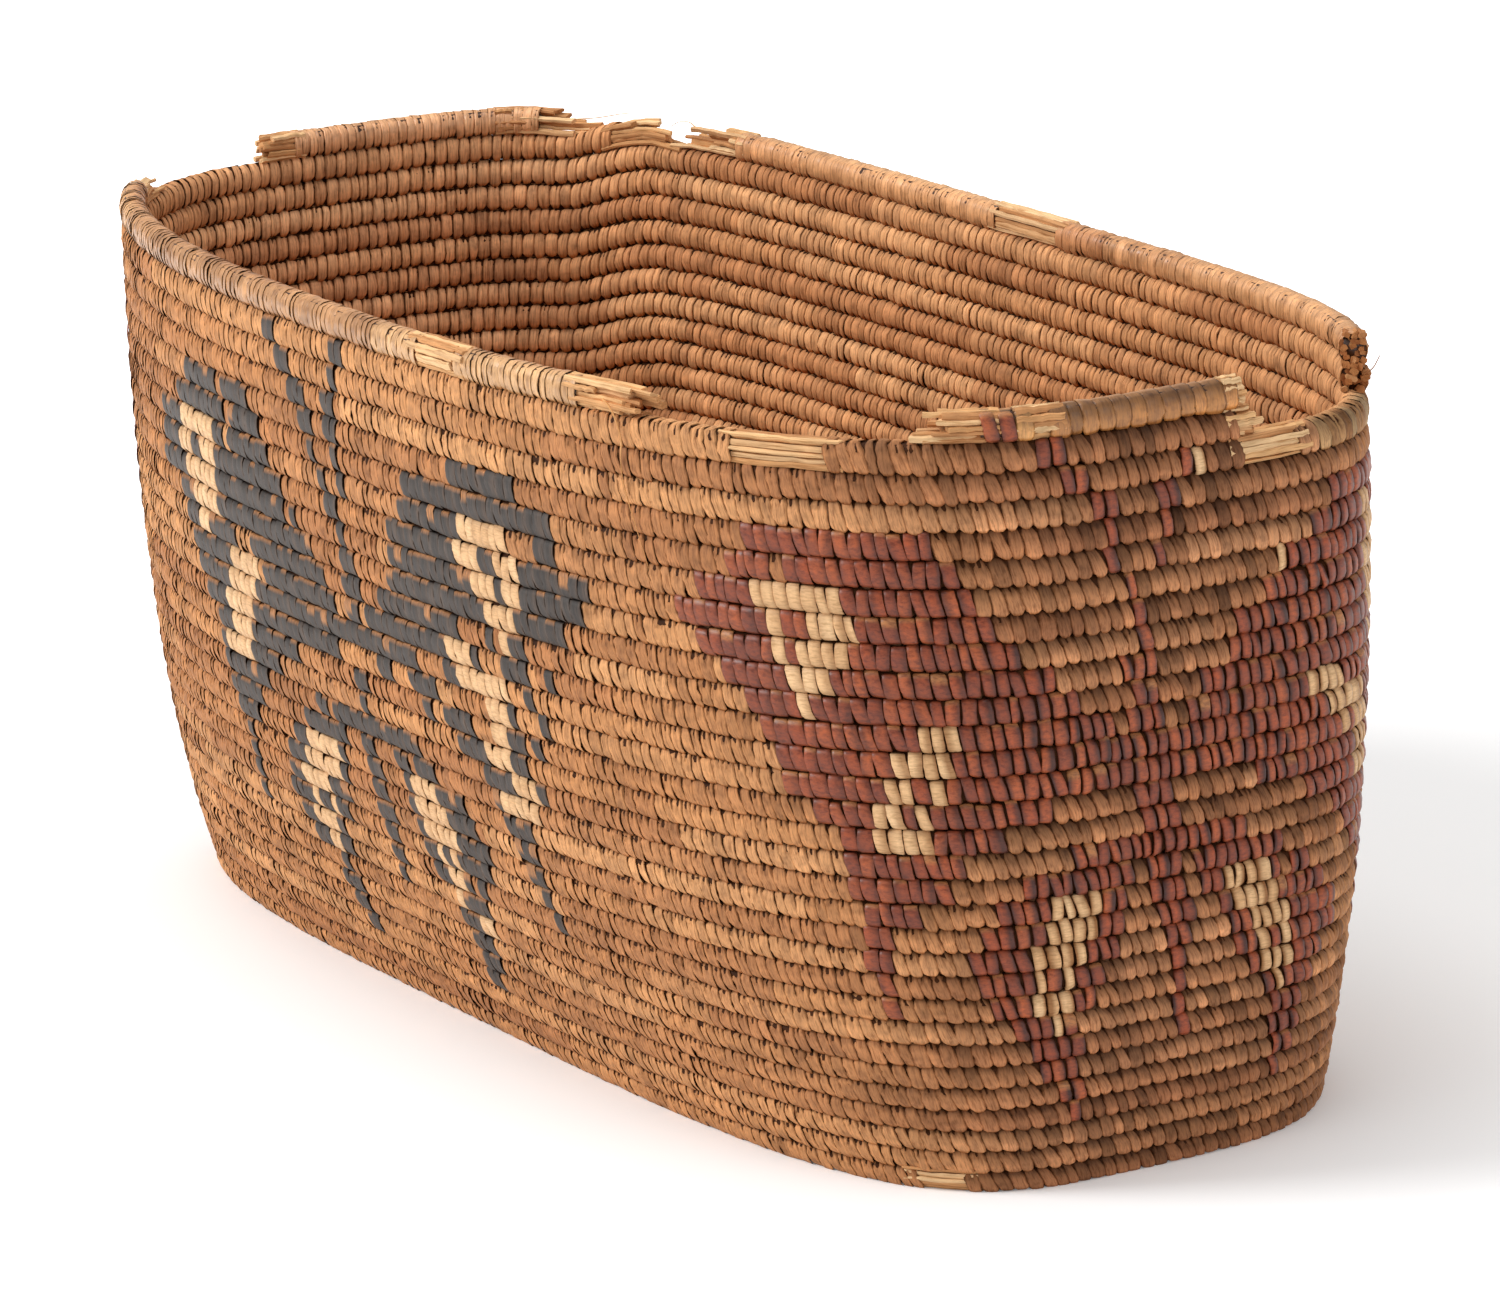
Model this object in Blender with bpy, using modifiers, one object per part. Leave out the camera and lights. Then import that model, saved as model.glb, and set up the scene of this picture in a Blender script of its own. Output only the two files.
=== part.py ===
"""Imbricated basket: a long rectangular coiled basket with a worn, broken rim.

One coil climbs from the base edge to the rim, a node for each spliced length of it. Lengths are in
metres, +Z is up, the origin is the bottom centre, X runs along the long walls and -Y is the near wall.
"""

import math

import bmesh
import bpy

# Courses and coil
COURSE_COUNT = 31
COURSE_PITCH = 0.008
WALL_HEIGHT = COURSE_COUNT * COURSE_PITCH
COIL_WIDTH = 1.08 * COURSE_PITCH
PITCH_SPREAD_SHARE = 0.15
COURSES_PER_LENGTH = 3
NODE_GAP = 0.0003
TURN_GAP = 0.00045
WELD_DISTANCE = NODE_GAP / 30.0

# Plan outline at the rim and at the base
RIM_HALF_LENGTH = 0.2835
BASE_HALF_LENGTH = 0.271
RIM_HALF_WIDTH = 0.133
BASE_NEAR_HALF_WIDTH = 0.086
BASE_FAR_HALF_WIDTH = 0.129
RIM_NEAR_SQUARENESS = 2.5
BASE_NEAR_SQUARENESS = 3.7
RIM_FAR_SQUARENESS = 4.4
BASE_FAR_SQUARENESS = 3.3
FLARE_EXPONENT = 2.5
FAR_END_RISE = 0.007

# Turn angles in degrees, clockwise seen from above, from the seam beside the back left corner
SEAM_ANGLE = 120.0
NEAR_CORNER = SEAM_ANGLE + 45.0
FULL_TURN = 360.0
CLIMB_START = 332.0
CLIMB_END = 357.0
STEP_ANGLE = 10.0
FINE_STEP_ANGLE = 0.5
CLOSEST_STEP_ANGLE = 0.2
SEAM_CUT_ANGLE = 0.12
RIGHT_BREAK = 82.0
END_WALL_START = 116.0
END_WALL_STITCHED_END = 136.0
END_WALL_SPLINT_END = 144.0
NEAR_SPLINT_START = 172.0
NEAR_RIM_START = 182.0
NEAR_RIM_END = 276.0
FAR_END_START = 295.0
FAR_END_END = 329.0

# Start of the first course, a thin tip under the climbing coil
TIP_THICKNESS = 0.0013
TIP_STEP_ANGLE = 2.0

# Base of straight slats
SLAT_COUNT = 8
SLAT_END_POINTS = 9
SLAT_CLEARANCE = 0.0012
SLAT_WELD_DISTANCE = NODE_GAP / 3.0

# Bare splints of the bundle where the wrapping of the rim is gone
SPLINT_WIDTH = 0.0015
SPLINT_COLUMNS = 3
SPLINT_ROWS = 3
SPLINT_SPACING = SPLINT_WIDTH + NODE_GAP
SPLINT_ROOT_ANGLE = 1.5
SPLINT_BREAK_SHARES = (1.0, 0.72, 0.88, 0.64, 0.94, 0.7, 0.82, 0.97, 0.6)

# Folded strips that cover the coil in the figures
STRIP_THICKNESS = 0.0005
STRIP_HALF_HEIGHT_SHARE = 0.36
STITCH_WIDTH = 0.0045
SHORTEST_RUN_STITCHES = {"black": 12, "red": 12, "cream": 9}

BUNDLE_LOOK = (0.52, 0.31, 0.15)
SLAT_LOOK = (0.5, 0.33, 0.18)
BLACK_LOOK = (0.035, 0.035, 0.038)
RED_LOOK = (0.19, 0.045, 0.02)
CREAM_LOOK = (0.75, 0.55, 0.28)
FIBRE_ROUGHNESS = 0.75
BARK_ROUGHNESS = 0.45


def clear_scene():
    for item in list(bpy.data.objects):
        bpy.data.objects.remove(item, do_unlink=True)


def new_collection(name):
    collection = bpy.data.collections.new(name)
    bpy.context.scene.collection.children.link(collection)
    return collection


def new_material(name, colour, roughness):
    material = bpy.data.materials.new(name)
    material.use_nodes = True
    shader = material.node_tree.nodes["Principled BSDF"]
    shader.inputs["Base Color"].default_value = (*colour, 1.0)
    shader.inputs["Roughness"].default_value = roughness
    return material


def line_height(line):
    """Height of the joint above `line` courses; the courses grow slightly thicker towards the rim."""
    share = line / COURSE_COUNT
    return WALL_HEIGHT * share * (1.0 - PITCH_SPREAD_SHARE * (1.0 - share))


def mix(low, high, share):
    return low + (high - low) * share


def outline_point(height, angle, inset=0.0):
    """Point of the plan outline at a height; the angle is in degrees from +X."""
    share = max(0.0, min(1.0, height / WALL_HEIGHT))
    flare = 1.0 - (1.0 - share) ** FLARE_EXPONENT
    half_length = mix(BASE_HALF_LENGTH, RIM_HALF_LENGTH, flare) - inset
    cosine = math.cos(math.radians(angle))
    sine = math.sin(math.radians(angle))
    if sine < 0.0:
        half_width = mix(BASE_NEAR_HALF_WIDTH, RIM_HALF_WIDTH, flare) - inset
        squareness = mix(BASE_NEAR_SQUARENESS, RIM_NEAR_SQUARENESS, flare)
    else:
        half_width = mix(BASE_FAR_HALF_WIDTH, RIM_HALF_WIDTH, flare) - inset
        squareness = mix(BASE_FAR_SQUARENESS, RIM_FAR_SQUARENESS, flare)
    x = math.copysign(half_length * abs(cosine) ** (2.0 / squareness), cosine)
    y = math.copysign(half_width * abs(sine) ** (2.0 / squareness), sine)
    return x, y


def climb(turn):
    """Share of one pitch climbed at a turn angle: level, then a short rise before the seam."""
    share = (turn - CLIMB_START) / (CLIMB_END - CLIMB_START)
    share = max(0.0, min(1.0, share))
    return share * share * (3.0 - 2.0 * share)


def coil_height(course):
    return line_height(course) - line_height(course - 1) - TURN_GAP


def path_point(course, turn, lift=0.5):
    """Centre of the coil of a course (1 at the base) at a turn angle in degrees."""
    low = line_height(course - 1)
    pitch = line_height(course) - low
    height = low + climb(turn) * pitch
    x, y = outline_point(height + pitch / 2.0, SEAM_ANGLE - turn, COIL_WIDTH / 2.0)
    rise = FAR_END_RISE * (height / WALL_HEIGHT) * (0.5 - 0.5 * x / RIM_HALF_LENGTH)
    return x, y, height + rise + lift * coil_height(course)


def turn_angles(start, end):
    """The two ends and the common steps between them, so that neighbouring courses stay parallel."""
    angles = [start]
    step = math.floor(start / STEP_ANGLE + 1.0) * STEP_ANGLE
    while step < end - CLOSEST_STEP_ANGLE:
        if step > start + CLOSEST_STEP_ANGLE:
            angles.append(step)
        step += STEP_ANGLE
    angles.append(end)
    return angles


def section_object(name, points, cutters):
    """Closed outline that a curve sweeps along its path."""
    curve = bpy.data.curves.new(name, "CURVE")
    curve.dimensions = "2D"
    spline = curve.splines.new("POLY")
    spline.points.add(len(points) - 1)
    for point, (x, y) in zip(spline.points, points):
        point.co = (x, y, 0.0, 1.0)
    spline.use_cyclic_u = True
    section = bpy.data.objects.new(name, curve)
    section.hide_render = True
    section.display_type = "WIRE"
    cutters.objects.link(section)
    return section


def coil_section(course):
    """Six-sided coil section with a flat top and a flat underside."""
    half_width = COIL_WIDTH / 2.0
    half_height = coil_height(course) / 2.0
    flat = half_width / 2.0
    return [
        (half_width, 0.0),
        (flat, half_height),
        (-flat, half_height),
        (-half_width, 0.0),
        (-flat, -half_height),
        (flat, -half_height),
    ]


def strip_section(course):
    """Bent strip that follows the outside of the coil, which is the -X side of a section."""
    half_width = COIL_WIDTH / 2.0
    reach = STRIP_HALF_HEIGHT_SHARE * coil_height(course)
    ridge = half_width + 1.2 * NODE_GAP
    edge = ridge - half_width * STRIP_HALF_HEIGHT_SHARE
    return [
        (-ridge - STRIP_THICKNESS, 0.0),
        (-edge - STRIP_THICKNESS, -reach),
        (-edge, -reach),
        (-ridge, 0.0),
        (-edge, reach),
        (-edge - STRIP_THICKNESS, reach),
    ]


def swept_mesh(name, paths, section):
    """Mesh of closed tubes: the section swept along each path of (x, y, z, size) points."""
    curve = bpy.data.curves.new(name, "CURVE")
    curve.dimensions = "3D"
    curve.twist_mode = "Z_UP"
    curve.bevel_mode = "OBJECT"
    curve.bevel_object = section
    curve.use_fill_caps = True
    for path in paths:
        spline = curve.splines.new("POLY")
        spline.points.add(len(path) - 1)
        for point, (x, y, z, size) in zip(spline.points, path):
            point.co = (x, y, z, 1.0)
            point.radius = size
    source = bpy.data.objects.new(name + "_path", curve)
    bpy.context.scene.collection.objects.link(source)
    graph = bpy.context.evaluated_depsgraph_get()
    mesh = bpy.data.meshes.new_from_object(source.evaluated_get(graph))
    bpy.data.objects.remove(source, do_unlink=True)
    bpy.data.curves.remove(curve)
    return mesh


def close_mesh(mesh):
    """Joins the cap corners to the tube and turns every normal outwards."""
    work = bmesh.new()
    work.from_mesh(mesh)
    bmesh.ops.remove_doubles(work, verts=work.verts, dist=WELD_DISTANCE)
    bmesh.ops.recalc_face_normals(work, faces=work.faces)
    work.to_mesh(mesh)
    work.free()


def add_piece(name, mesh, material, collection):
    close_mesh(mesh)
    mesh.materials.clear()
    mesh.materials.append(material)
    piece = bpy.data.objects.new(name, mesh)
    collection.objects.link(piece)
    return piece


def course_path(course, start, end):
    return [(*path_point(course, turn), 1.0) for turn in turn_angles(start, end)]


def tip_path():
    """The thin start of the first course, from its tip under the climb to the full coil at the seam."""
    pitch = line_height(1)
    path = []
    turn = CLIMB_START
    while climb(turn) * pitch - TURN_GAP < TIP_THICKNESS:
        turn += FINE_STEP_ANGLE
    angles = [turn] + [a for a in turn_angles(turn, CLIMB_END) if a > turn + TIP_STEP_ANGLE]
    for angle in angles:
        room = climb(angle) * pitch - TURN_GAP
        x, y = outline_point(pitch / 2.0, SEAM_ANGLE - angle, COIL_WIDTH / 2.0)
        path.append((x, y, room / 2.0, room / coil_height(1)))
    return path


def add_length(name, course, count, start, end, material, collection, cutters):
    """One unbroken length of coil: `count` courses from a turn angle of the first to one of the last."""
    section = section_object(f"section_{name}", coil_section(course), cutters)
    path = tip_path() if course == 1 else []
    for number in range(course, course + count):
        first = start if number == course else STEP_ANGLE
        last = end if number == course + count - 1 else FULL_TURN
        size = coil_height(number) / coil_height(course)
        path += [(*path_point(number, turn), size) for turn in turn_angles(first, last)]
    mesh = swept_mesh(name, [path], section)
    return add_piece(name, mesh, material, collection)


def add_wall(material, collection, cutters):
    """The coil from the base edge to the rim, with the breaks of its two top courses."""
    first = SEAM_CUT_ANGLE
    last = FULL_TURN - SEAM_CUT_ANGLE
    under = COURSE_COUNT - 1
    top = COURSE_COUNT
    for course in range(1, under, COURSES_PER_LENGTH):
        count = min(COURSES_PER_LENGTH, under - course)
        name = f"coil_courses_{course:02d}_to_{course + count - 1:02d}"
        add_length(name, course, count, first, last, material, collection, cutters)
    broken = {
        "coil_course_30_back_wall": (under, first, RIGHT_BREAK),
        "coil_course_30_front": (under, END_WALL_START, last),
        "rim_coil_back_wall": (top, first, RIGHT_BREAK),
        "rim_coil_end_wall": (top, END_WALL_START, END_WALL_STITCHED_END),
        "rim_coil_near_wall": (top, NEAR_RIM_START, NEAR_RIM_END),
        "rim_coil_far_end": (top, FAR_END_START, FAR_END_END),
    }
    pieces = {}
    for name, (course, start, end) in broken.items():
        pieces[name] = add_length(name, course, 1, start, end, material, collection, cutters)
    add_splints(pieces["rim_coil_end_wall"], END_WALL_STITCHED_END, END_WALL_SPLINT_END, cutters)
    add_splints(pieces["rim_coil_near_wall"], NEAR_RIM_START, NEAR_SPLINT_START, cutters)


def slat_limit(y):
    """Half length that the inside of the first course leaves for the base at y."""
    inset = COIL_WIDTH + SLAT_CLEARANCE
    half_length = BASE_HALF_LENGTH - inset
    half_width = (BASE_FAR_HALF_WIDTH if y > 0.0 else BASE_NEAR_HALF_WIDTH) - inset
    squareness = BASE_FAR_SQUARENESS if y > 0.0 else BASE_NEAR_SQUARENESS
    share = min(1.0, abs(y) / half_width)
    return half_length * (1.0 - share ** squareness) ** (1.0 / squareness)


def add_base_slats(material, collection):
    """Straight slats side by side, their ends cut to the inside of the first course."""
    inset = COIL_WIDTH + SLAT_CLEARANCE
    near = inset - BASE_NEAR_HALF_WIDTH
    far = BASE_FAR_HALF_WIDTH - inset
    pitch = (far - near) / SLAT_COUNT
    for number in range(SLAT_COUNT):
        low = near + number * pitch + (NODE_GAP if number else 0.0)
        high = near + (number + 1) * pitch
        levels = [mix(low, high, step / (SLAT_END_POINTS - 1)) for step in range(SLAT_END_POINTS)]
        right = [(slat_limit(y), y) for y in levels]
        left = [(-x, y) for x, y in reversed(right)]
        work = bmesh.new()
        corners = [work.verts.new((x, y, 0.0)) for x, y in right + left]
        work.faces.new(corners)
        bmesh.ops.remove_doubles(work, verts=work.verts, dist=SLAT_WELD_DISTANCE)
        mesh = bpy.data.meshes.new(f"base_slat_{number + 1:02d}")
        work.to_mesh(mesh)
        work.free()
        slat = bpy.data.objects.new(mesh.name, mesh)
        mesh.materials.append(material)
        collection.objects.link(slat)
        thickness = slat.modifiers.new("thickness", "SOLIDIFY")
        thickness.thickness = coil_height(1)
        thickness.offset = 1.0


def splint_path(start, end, column, row, break_share):
    """One bare splint of the rim coil, from inside its wrapping at `start` to its break near `end`."""
    root = start + math.copysign(SPLINT_ROOT_ANGLE, start - end)
    last = mix(start, end, break_share)
    across = (column - (SPLINT_COLUMNS - 1) / 2.0) * SPLINT_SPACING
    up = (row - (SPLINT_ROWS - 1) / 2.0) * SPLINT_SPACING
    path = []
    for turn in (root, start, mix(start, last, 0.5), last):
        x, y, z = path_point(COURSE_COUNT, turn)
        ahead = path_point(COURSE_COUNT, turn + 1.0)
        length = math.hypot(ahead[0] - x, ahead[1] - y)
        side_x = (ahead[1] - y) / length
        side_y = (x - ahead[0]) / length
        path.append((x + side_x * across, y + side_y * across, z + up, 1.0))
    return path


def add_splints(coil, start, end, cutters):
    """Joins the splints that stand out of a broken coil to it."""
    half = SPLINT_WIDTH / 2.0
    corners = [(half, half), (-half, half), (-half, -half), (half, -half)]
    name = f"splints_{coil.name}"
    section = section_object(f"section_{name}", corners, cutters)
    shares = iter(SPLINT_BREAK_SHARES)
    paths = []
    for column in range(SPLINT_COLUMNS):
        for row in range(SPLINT_ROWS):
            paths.append(splint_path(start, end, column, row, next(shares)))
    mesh = swept_mesh(name, paths, section)
    close_mesh(mesh)
    splints = bpy.data.objects.new(name, mesh)
    splints.hide_render = True
    splints.display_type = "WIRE"
    cutters.objects.link(splints)
    joined = coil.modifiers.new("splints", "BOOLEAN")
    joined.operation = "UNION"
    joined.object = splints


# Figures as closed outlines of (line of courses counted from the rim, stitches from the near corner)
BLACK_WINGS = [
    [(3, -69), (3, -64), (5, -57), (8, -52), (10, -47), (10, -34), (12, -32), (13, -41), (15, -64),
     (16, -72), (11, -76), (7, -79)],
    [(10, -41), (6, -39), (4, -35), (4, -24), (6, -17), (9, -14), (11, -23), (12, -34)],
    [(18, -65), (16, -54), (16, -43), (18, -45), (18, -57), (22, -61), (27, -63), (27, -68), (22, -68)],
    [(17, -40), (17, -31), (22, -34), (28, -41), (24, -41), (20, -41)],
]
RED_WINGS = [
    [(4, 1), (8, -5), (13, 5), (16, 7), (22, 8), (21, 11), (17, 12), (15, 16), (15, 26), (9, 27),
     (5, 17), (4, 14)],
    [(4, 54), (4, 46), (9, 36), (9, 28), (14, 29), (14, 36), (16, 53)],
    [(15, 22), (15, 26), (22, 22), (28, 18), (24, 16), (18, 16)],
    [(16, 33), (16, 36), (20, 43), (27, 35), (21, 33)],
]
CREAM_SPOTS = [
    [(6, 2), (6, 9), (9, 9), (10, 4)],
    [(11, 13), (11, 16), (16, 13), (16, 9)],
    [(6, -28), (6, -19), (11, -22), (15, -28), (12, -30)],
    [(18, -62), (18, -55), (25, -62), (25, -66)],
    [(17, -43), (17, -38), (24, -40), (24, -44)],
    [(17, 20), (17, 24), (24, 19), (22, 17)],
    [(17, 34), (17, 38), (23, 38), (21, 36)],
]


def crossings(outline, line):
    """Where an outline crosses a level line, in stitches, sorted."""
    found = []
    for (line_a, stitch_a), (line_b, stitch_b) in zip(outline, outline[1:] + outline[:1]):
        if (line_a <= line) != (line_b <= line):
            found.append(mix(stitch_a, stitch_b, (line - line_a) / (line_b - line_a)))
    return sorted(found)


def covered(outlines, line):
    """Runs of whole stitches inside any of the outlines on one course."""
    stitches = set()
    for outline in outlines:
        found = crossings(outline, line)
        for start, end in zip(found[::2], found[1::2]):
            stitches.update(range(math.ceil(start), math.floor(end) + 1))
    return stitches


def runs(stitches, shortest):
    """Unbroken runs (first, last + 1) of at least `shortest` stitches."""
    found = []
    for stitch in sorted(stitches):
        if found and found[-1][1] == stitch:
            found[-1][1] = stitch + 1
        else:
            found.append([stitch, stitch + 1])
    return [run for run in found if run[1] - run[0] >= shortest]


def corner_turns(course, distances):
    """Turn angles at given distances from the near corner along a course, in rising order."""
    turn = STEP_ANGLE
    places = []
    length = 0.0
    point = path_point(course, turn)
    while turn < CLIMB_START:
        places.append((length, turn))
        turn += FINE_STEP_ANGLE
        ahead = path_point(course, turn)
        length += math.hypot(ahead[0] - point[0], ahead[1] - point[1])
        point = ahead
    zero = next(place for place, angle in places if angle >= NEAR_CORNER)
    result = []
    for distance in distances:
        wanted = zero - distance
        result.append(next((angle for place, angle in places if place >= wanted), CLIMB_START))
    return result


def add_strips(colour, course, stitches, material, collection, cutters):
    """The folded strips of one colour on one course, one for each unbroken run of stitches."""
    found = runs(stitches, SHORTEST_RUN_STITCHES[colour])
    for number, (first, last) in enumerate(found, start=1):
        name = f"strip_{colour}_course_{course:02d}_{number}"
        ends = (last * STITCH_WIDTH - NODE_GAP, first * STITCH_WIDTH + NODE_GAP)
        start, end = corner_turns(course, ends)
        path = [(*path_point(course, turn), 1.0) for turn in turn_angles(start, end)]
        section = section_object(f"section_{name}", strip_section(course), cutters)
        mesh = swept_mesh(name, [path], section)
        add_piece(name, mesh, material, collection)


def add_imbrication(materials, collection, cutters):
    for course in range(1, COURSE_COUNT):
        line = COURSE_COUNT - course + 0.5
        cream = covered(CREAM_SPOTS, line)
        black = covered(BLACK_WINGS, line) - cream
        red = covered(RED_WINGS, line) - cream
        add_strips("cream", course, cream, materials["cream"], collection, cutters)
        add_strips("black", course, black, materials["black"], collection, cutters)
        add_strips("red", course, red, materials["red"], collection, cutters)


def least_turn_gap():
    """Least gap of the coil to itself: from the top of a course to the underside of the next."""
    least = WALL_HEIGHT
    for course in range(1, COURSE_COUNT):
        for turn in range(0, int(FULL_TURN), int(STEP_ANGLE)):
            below = path_point(course, turn, 1.0)
            above = path_point(course + 1, turn, 0.0)
            least = min(least, above[2] - below[2])
    return least


def build():
    clear_scene()
    basket = new_collection("imbricated_basket")
    cutters = new_collection("sections")
    materials = {
        "bundle": new_material("coil_bundle", BUNDLE_LOOK, FIBRE_ROUGHNESS),
        "slat": new_material("base_slat", SLAT_LOOK, FIBRE_ROUGHNESS),
        "black": new_material("black_bark", BLACK_LOOK, BARK_ROUGHNESS),
        "red": new_material("red_bark", RED_LOOK, BARK_ROUGHNESS),
        "cream": new_material("cream_straw", CREAM_LOOK, BARK_ROUGHNESS),
    }
    add_wall(materials["bundle"], basket, cutters)
    add_base_slats(materials["slat"], basket)
    add_imbrication(materials, basket, cutters)
    print("least gap of the coil to itself, mm:", round(1000.0 * least_turn_gap(), 3))


build()
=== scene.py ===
"""Looks of the imbricated basket: every stitch, folded strip and bare splint round the CAD coil.

Lengths are in metres in the row frame. A course is one turn of the coil, 1 at the base edge and 31 at
the rim. Places on a course are distances along it from the near corner, positive on the end wall.
"""
import math

import bpy
import numpy as np
from mathutils import Matrix, Vector


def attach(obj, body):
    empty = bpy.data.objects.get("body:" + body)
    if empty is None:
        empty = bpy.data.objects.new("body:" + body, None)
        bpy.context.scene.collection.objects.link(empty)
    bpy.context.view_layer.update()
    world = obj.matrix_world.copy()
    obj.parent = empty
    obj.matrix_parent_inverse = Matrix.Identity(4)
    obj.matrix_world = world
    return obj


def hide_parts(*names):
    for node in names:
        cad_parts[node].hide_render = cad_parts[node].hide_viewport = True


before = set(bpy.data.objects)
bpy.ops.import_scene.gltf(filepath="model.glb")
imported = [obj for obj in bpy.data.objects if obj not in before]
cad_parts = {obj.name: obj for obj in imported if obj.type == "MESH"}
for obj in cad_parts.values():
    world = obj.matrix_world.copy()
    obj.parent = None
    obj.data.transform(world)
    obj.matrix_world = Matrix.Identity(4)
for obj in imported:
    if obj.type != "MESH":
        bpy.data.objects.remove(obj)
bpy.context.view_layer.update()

# The coil, as in the CAD source
COURSE_COUNT = 31
COURSE_PITCH = 0.008
WALL_HEIGHT = COURSE_COUNT * COURSE_PITCH
COIL_WIDTH = 1.08 * COURSE_PITCH
PITCH_SPREAD_SHARE = 0.15
RIM_HALF_LENGTH = 0.2835
BASE_HALF_LENGTH = 0.271
RIM_HALF_WIDTH = 0.133
BASE_NEAR_HALF_WIDTH = 0.086
BASE_FAR_HALF_WIDTH = 0.129
RIM_NEAR_SQUARENESS = 2.5
BASE_NEAR_SQUARENESS = 3.7
RIM_FAR_SQUARENESS = 4.4
BASE_FAR_SQUARENESS = 3.3
FLARE_EXPONENT = 2.5
FAR_END_RISE = 0.007
SEAM_ANGLE = 120.0
NEAR_CORNER = SEAM_ANGLE + 45.0
FULL_TURN = 360.0
NEAR_MIDDLE_TURN = SEAM_ANGLE + 90.0
END_MIDDLE_TURN = SEAM_ANGLE
HIDDEN_START = 10.0
CLIMB_START = 332.0
CLIMB_END = 357.0
TURN_OVERRUN = 4.0
TIP_TURN = 339.0
TURN_SAMPLES = 3681
SLAT_COUNT = 8
SLAT_OVERLAP = 0.0012
SLAT_GAP = 0.0004

STITCH_PITCH = 0.0045
MM = 0.001

# Section of a stitch on the coil: place in half widths and half heights, width and lean in stitch
# pitches
PLAIN_SECTION = [
    (0.30, 1.02, 0.66, -0.30),
    (0.66, 0.88, 0.76, -0.26),
    (0.90, 0.56, 0.97, -0.17),
    (1.02, 0.16, 1.07, -0.06),
    (1.06, -0.26, 1.10, 0.06),
    (1.03, -0.64, 1.10, 0.15),
    (0.95, -0.94, 1.00, 0.21),
    (0.80, -1.14, 0.70, 0.25),
    (0.30, -1.05, 0.40, 0.20),
    (-0.70, -1.02, 0.62, 0.05),
    (-0.97, -0.66, 0.98, 0.02),
    (-1.07, -0.12, 1.03, 0.00),
    (-1.00, 0.42, 1.02, -0.04),
    (-0.74, 0.84, 0.94, -0.10),
    (-0.24, 1.06, 0.80, -0.20),
]
RIM_SECTION = [
    (0.32, 1.00, 1.00, -0.10),
    (0.70, 0.80, 1.02, -0.08),
    (0.95, 0.42, 1.04, -0.04),
    (1.05, 0.00, 1.05, 0.00),
    (1.05, -0.42, 1.05, 0.04),
    (0.94, -0.80, 1.02, 0.07),
    (0.76, -1.08, 0.80, 0.09),
    (0.30, -1.05, 0.50, 0.08),
    (-0.70, -1.02, 0.62, 0.03),
    (-0.97, -0.66, 0.96, 0.00),
    (-1.05, -0.10, 1.00, -0.02),
    (-0.98, 0.42, 1.02, -0.06),
    (-0.72, 0.82, 1.02, -0.09),
    (-0.22, 1.03, 1.00, -0.11),
]
SLAT_SECTION = [
    (1.00, 0.55, 1.00, 0.0),
    (1.04, -0.10, 1.00, 0.0),
    (0.97, -0.85, 1.00, 0.0),
    (0.60, -1.00, 1.02, -0.1),
    (0.00, -1.00, 1.02, -0.2),
    (-0.60, -1.00, 1.02, -0.3),
    (-0.97, -0.85, 1.00, -0.4),
    (-1.04, -0.10, 1.00, -0.4),
    (-1.00, 0.55, 1.00, -0.4),
    (-0.60, 1.00, 1.02, -0.3),
    (0.00, 1.06, 1.02, -0.2),
    (0.60, 1.00, 1.02, -0.1),
]
STITCH_SHOULDER = 0.7
# Across a stitch: place in half widths and lift in crown heights; the last one is the underside
STITCH_ACROSS = [
    (-1.0, -0.5), (-STITCH_SHOULDER, 0.2), (0.0, 0.45), (STITCH_SHOULDER, 0.2), (1.0, -0.5), (0.0, -2.6)
]
STITCH_CROWN = 0.0003
# Forks of stitches: how far they are open at the first places of a section, their depth and how many there
# are, what they do to the stitch's width and shape, and those on the inside
FORK_OPENING = [0.4, 0.8, 0.8, 0.2]
FORK_DEPTH = 0.0010
FORK_SHARE = 0.68
END_FORK_SHARE = 0.3
FORK_LEAST = 0.7
FORK_RANGE = 0.5
FORK_WIDENING = 0.34
FORK_SHIFT = 0.3
FORK_SIDE_SHARE = 0.22
INNER_FORK = 0.45
INNER_FORK_SHARE = 0.45
# Where on a section the outside, the inside, its lower part and the joints with its neighbours begin
OUTSIDE_FROM = 0.25
INSIDE_FROM = -0.5
LOWER_FROM = -0.5
SEAM_FROM = 0.95
# How stitches differ from each other, as shares of their measures or in metres
FILL_SPREAD = 0.12
NARROWEST_STITCH = 0.7
WIDEST_STITCH = 1.35
WIDTH_SPREAD = 0.06
LEAN_SPREAD = 0.25
CROWN_SPREAD = 0.25
TILT = 0.3
TILT_SPREAD = 0.35
STITCH_ROUGHNESS = 0.1 * MM
STITCH_SAG = 0.22 * MM
# Stitches under a folded strip are narrower and deeper, and dark as painted shade
COVERED_WIDTH = 0.7
COVERED_DEPTH = 0.6 * MM
COVERED_SHADE = 0.15
# Relief and width of stitches and folded strips: the long walls are worn flat, the end wall isn't
NEAR_RELIEF = 0.42
END_RELIEF = 2.8
INNER_RELIEF = 1.5
RIM_INNER_RELIEF = 0.6
NEAR_RIM_RELIEF = 0.35
RIM_STITCH_WIDTH = 1.08
NEAR_CELL_RELIEF = 0.18
END_CELL_RELIEF = 1.0
NEAR_CELL_WIDTH = 1.12
END_CELL_WIDTH = 0.92
NEAR_CELL_SLANT = -0.24
END_CELL_SLANT = -0.12
RIM_STITCH_PITCH = 0.0034
END_RIM_STITCH_PITCH = 0.0058
END_RIM_REACH = 0.2
STRAND_STITCHES = 26.0

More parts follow.
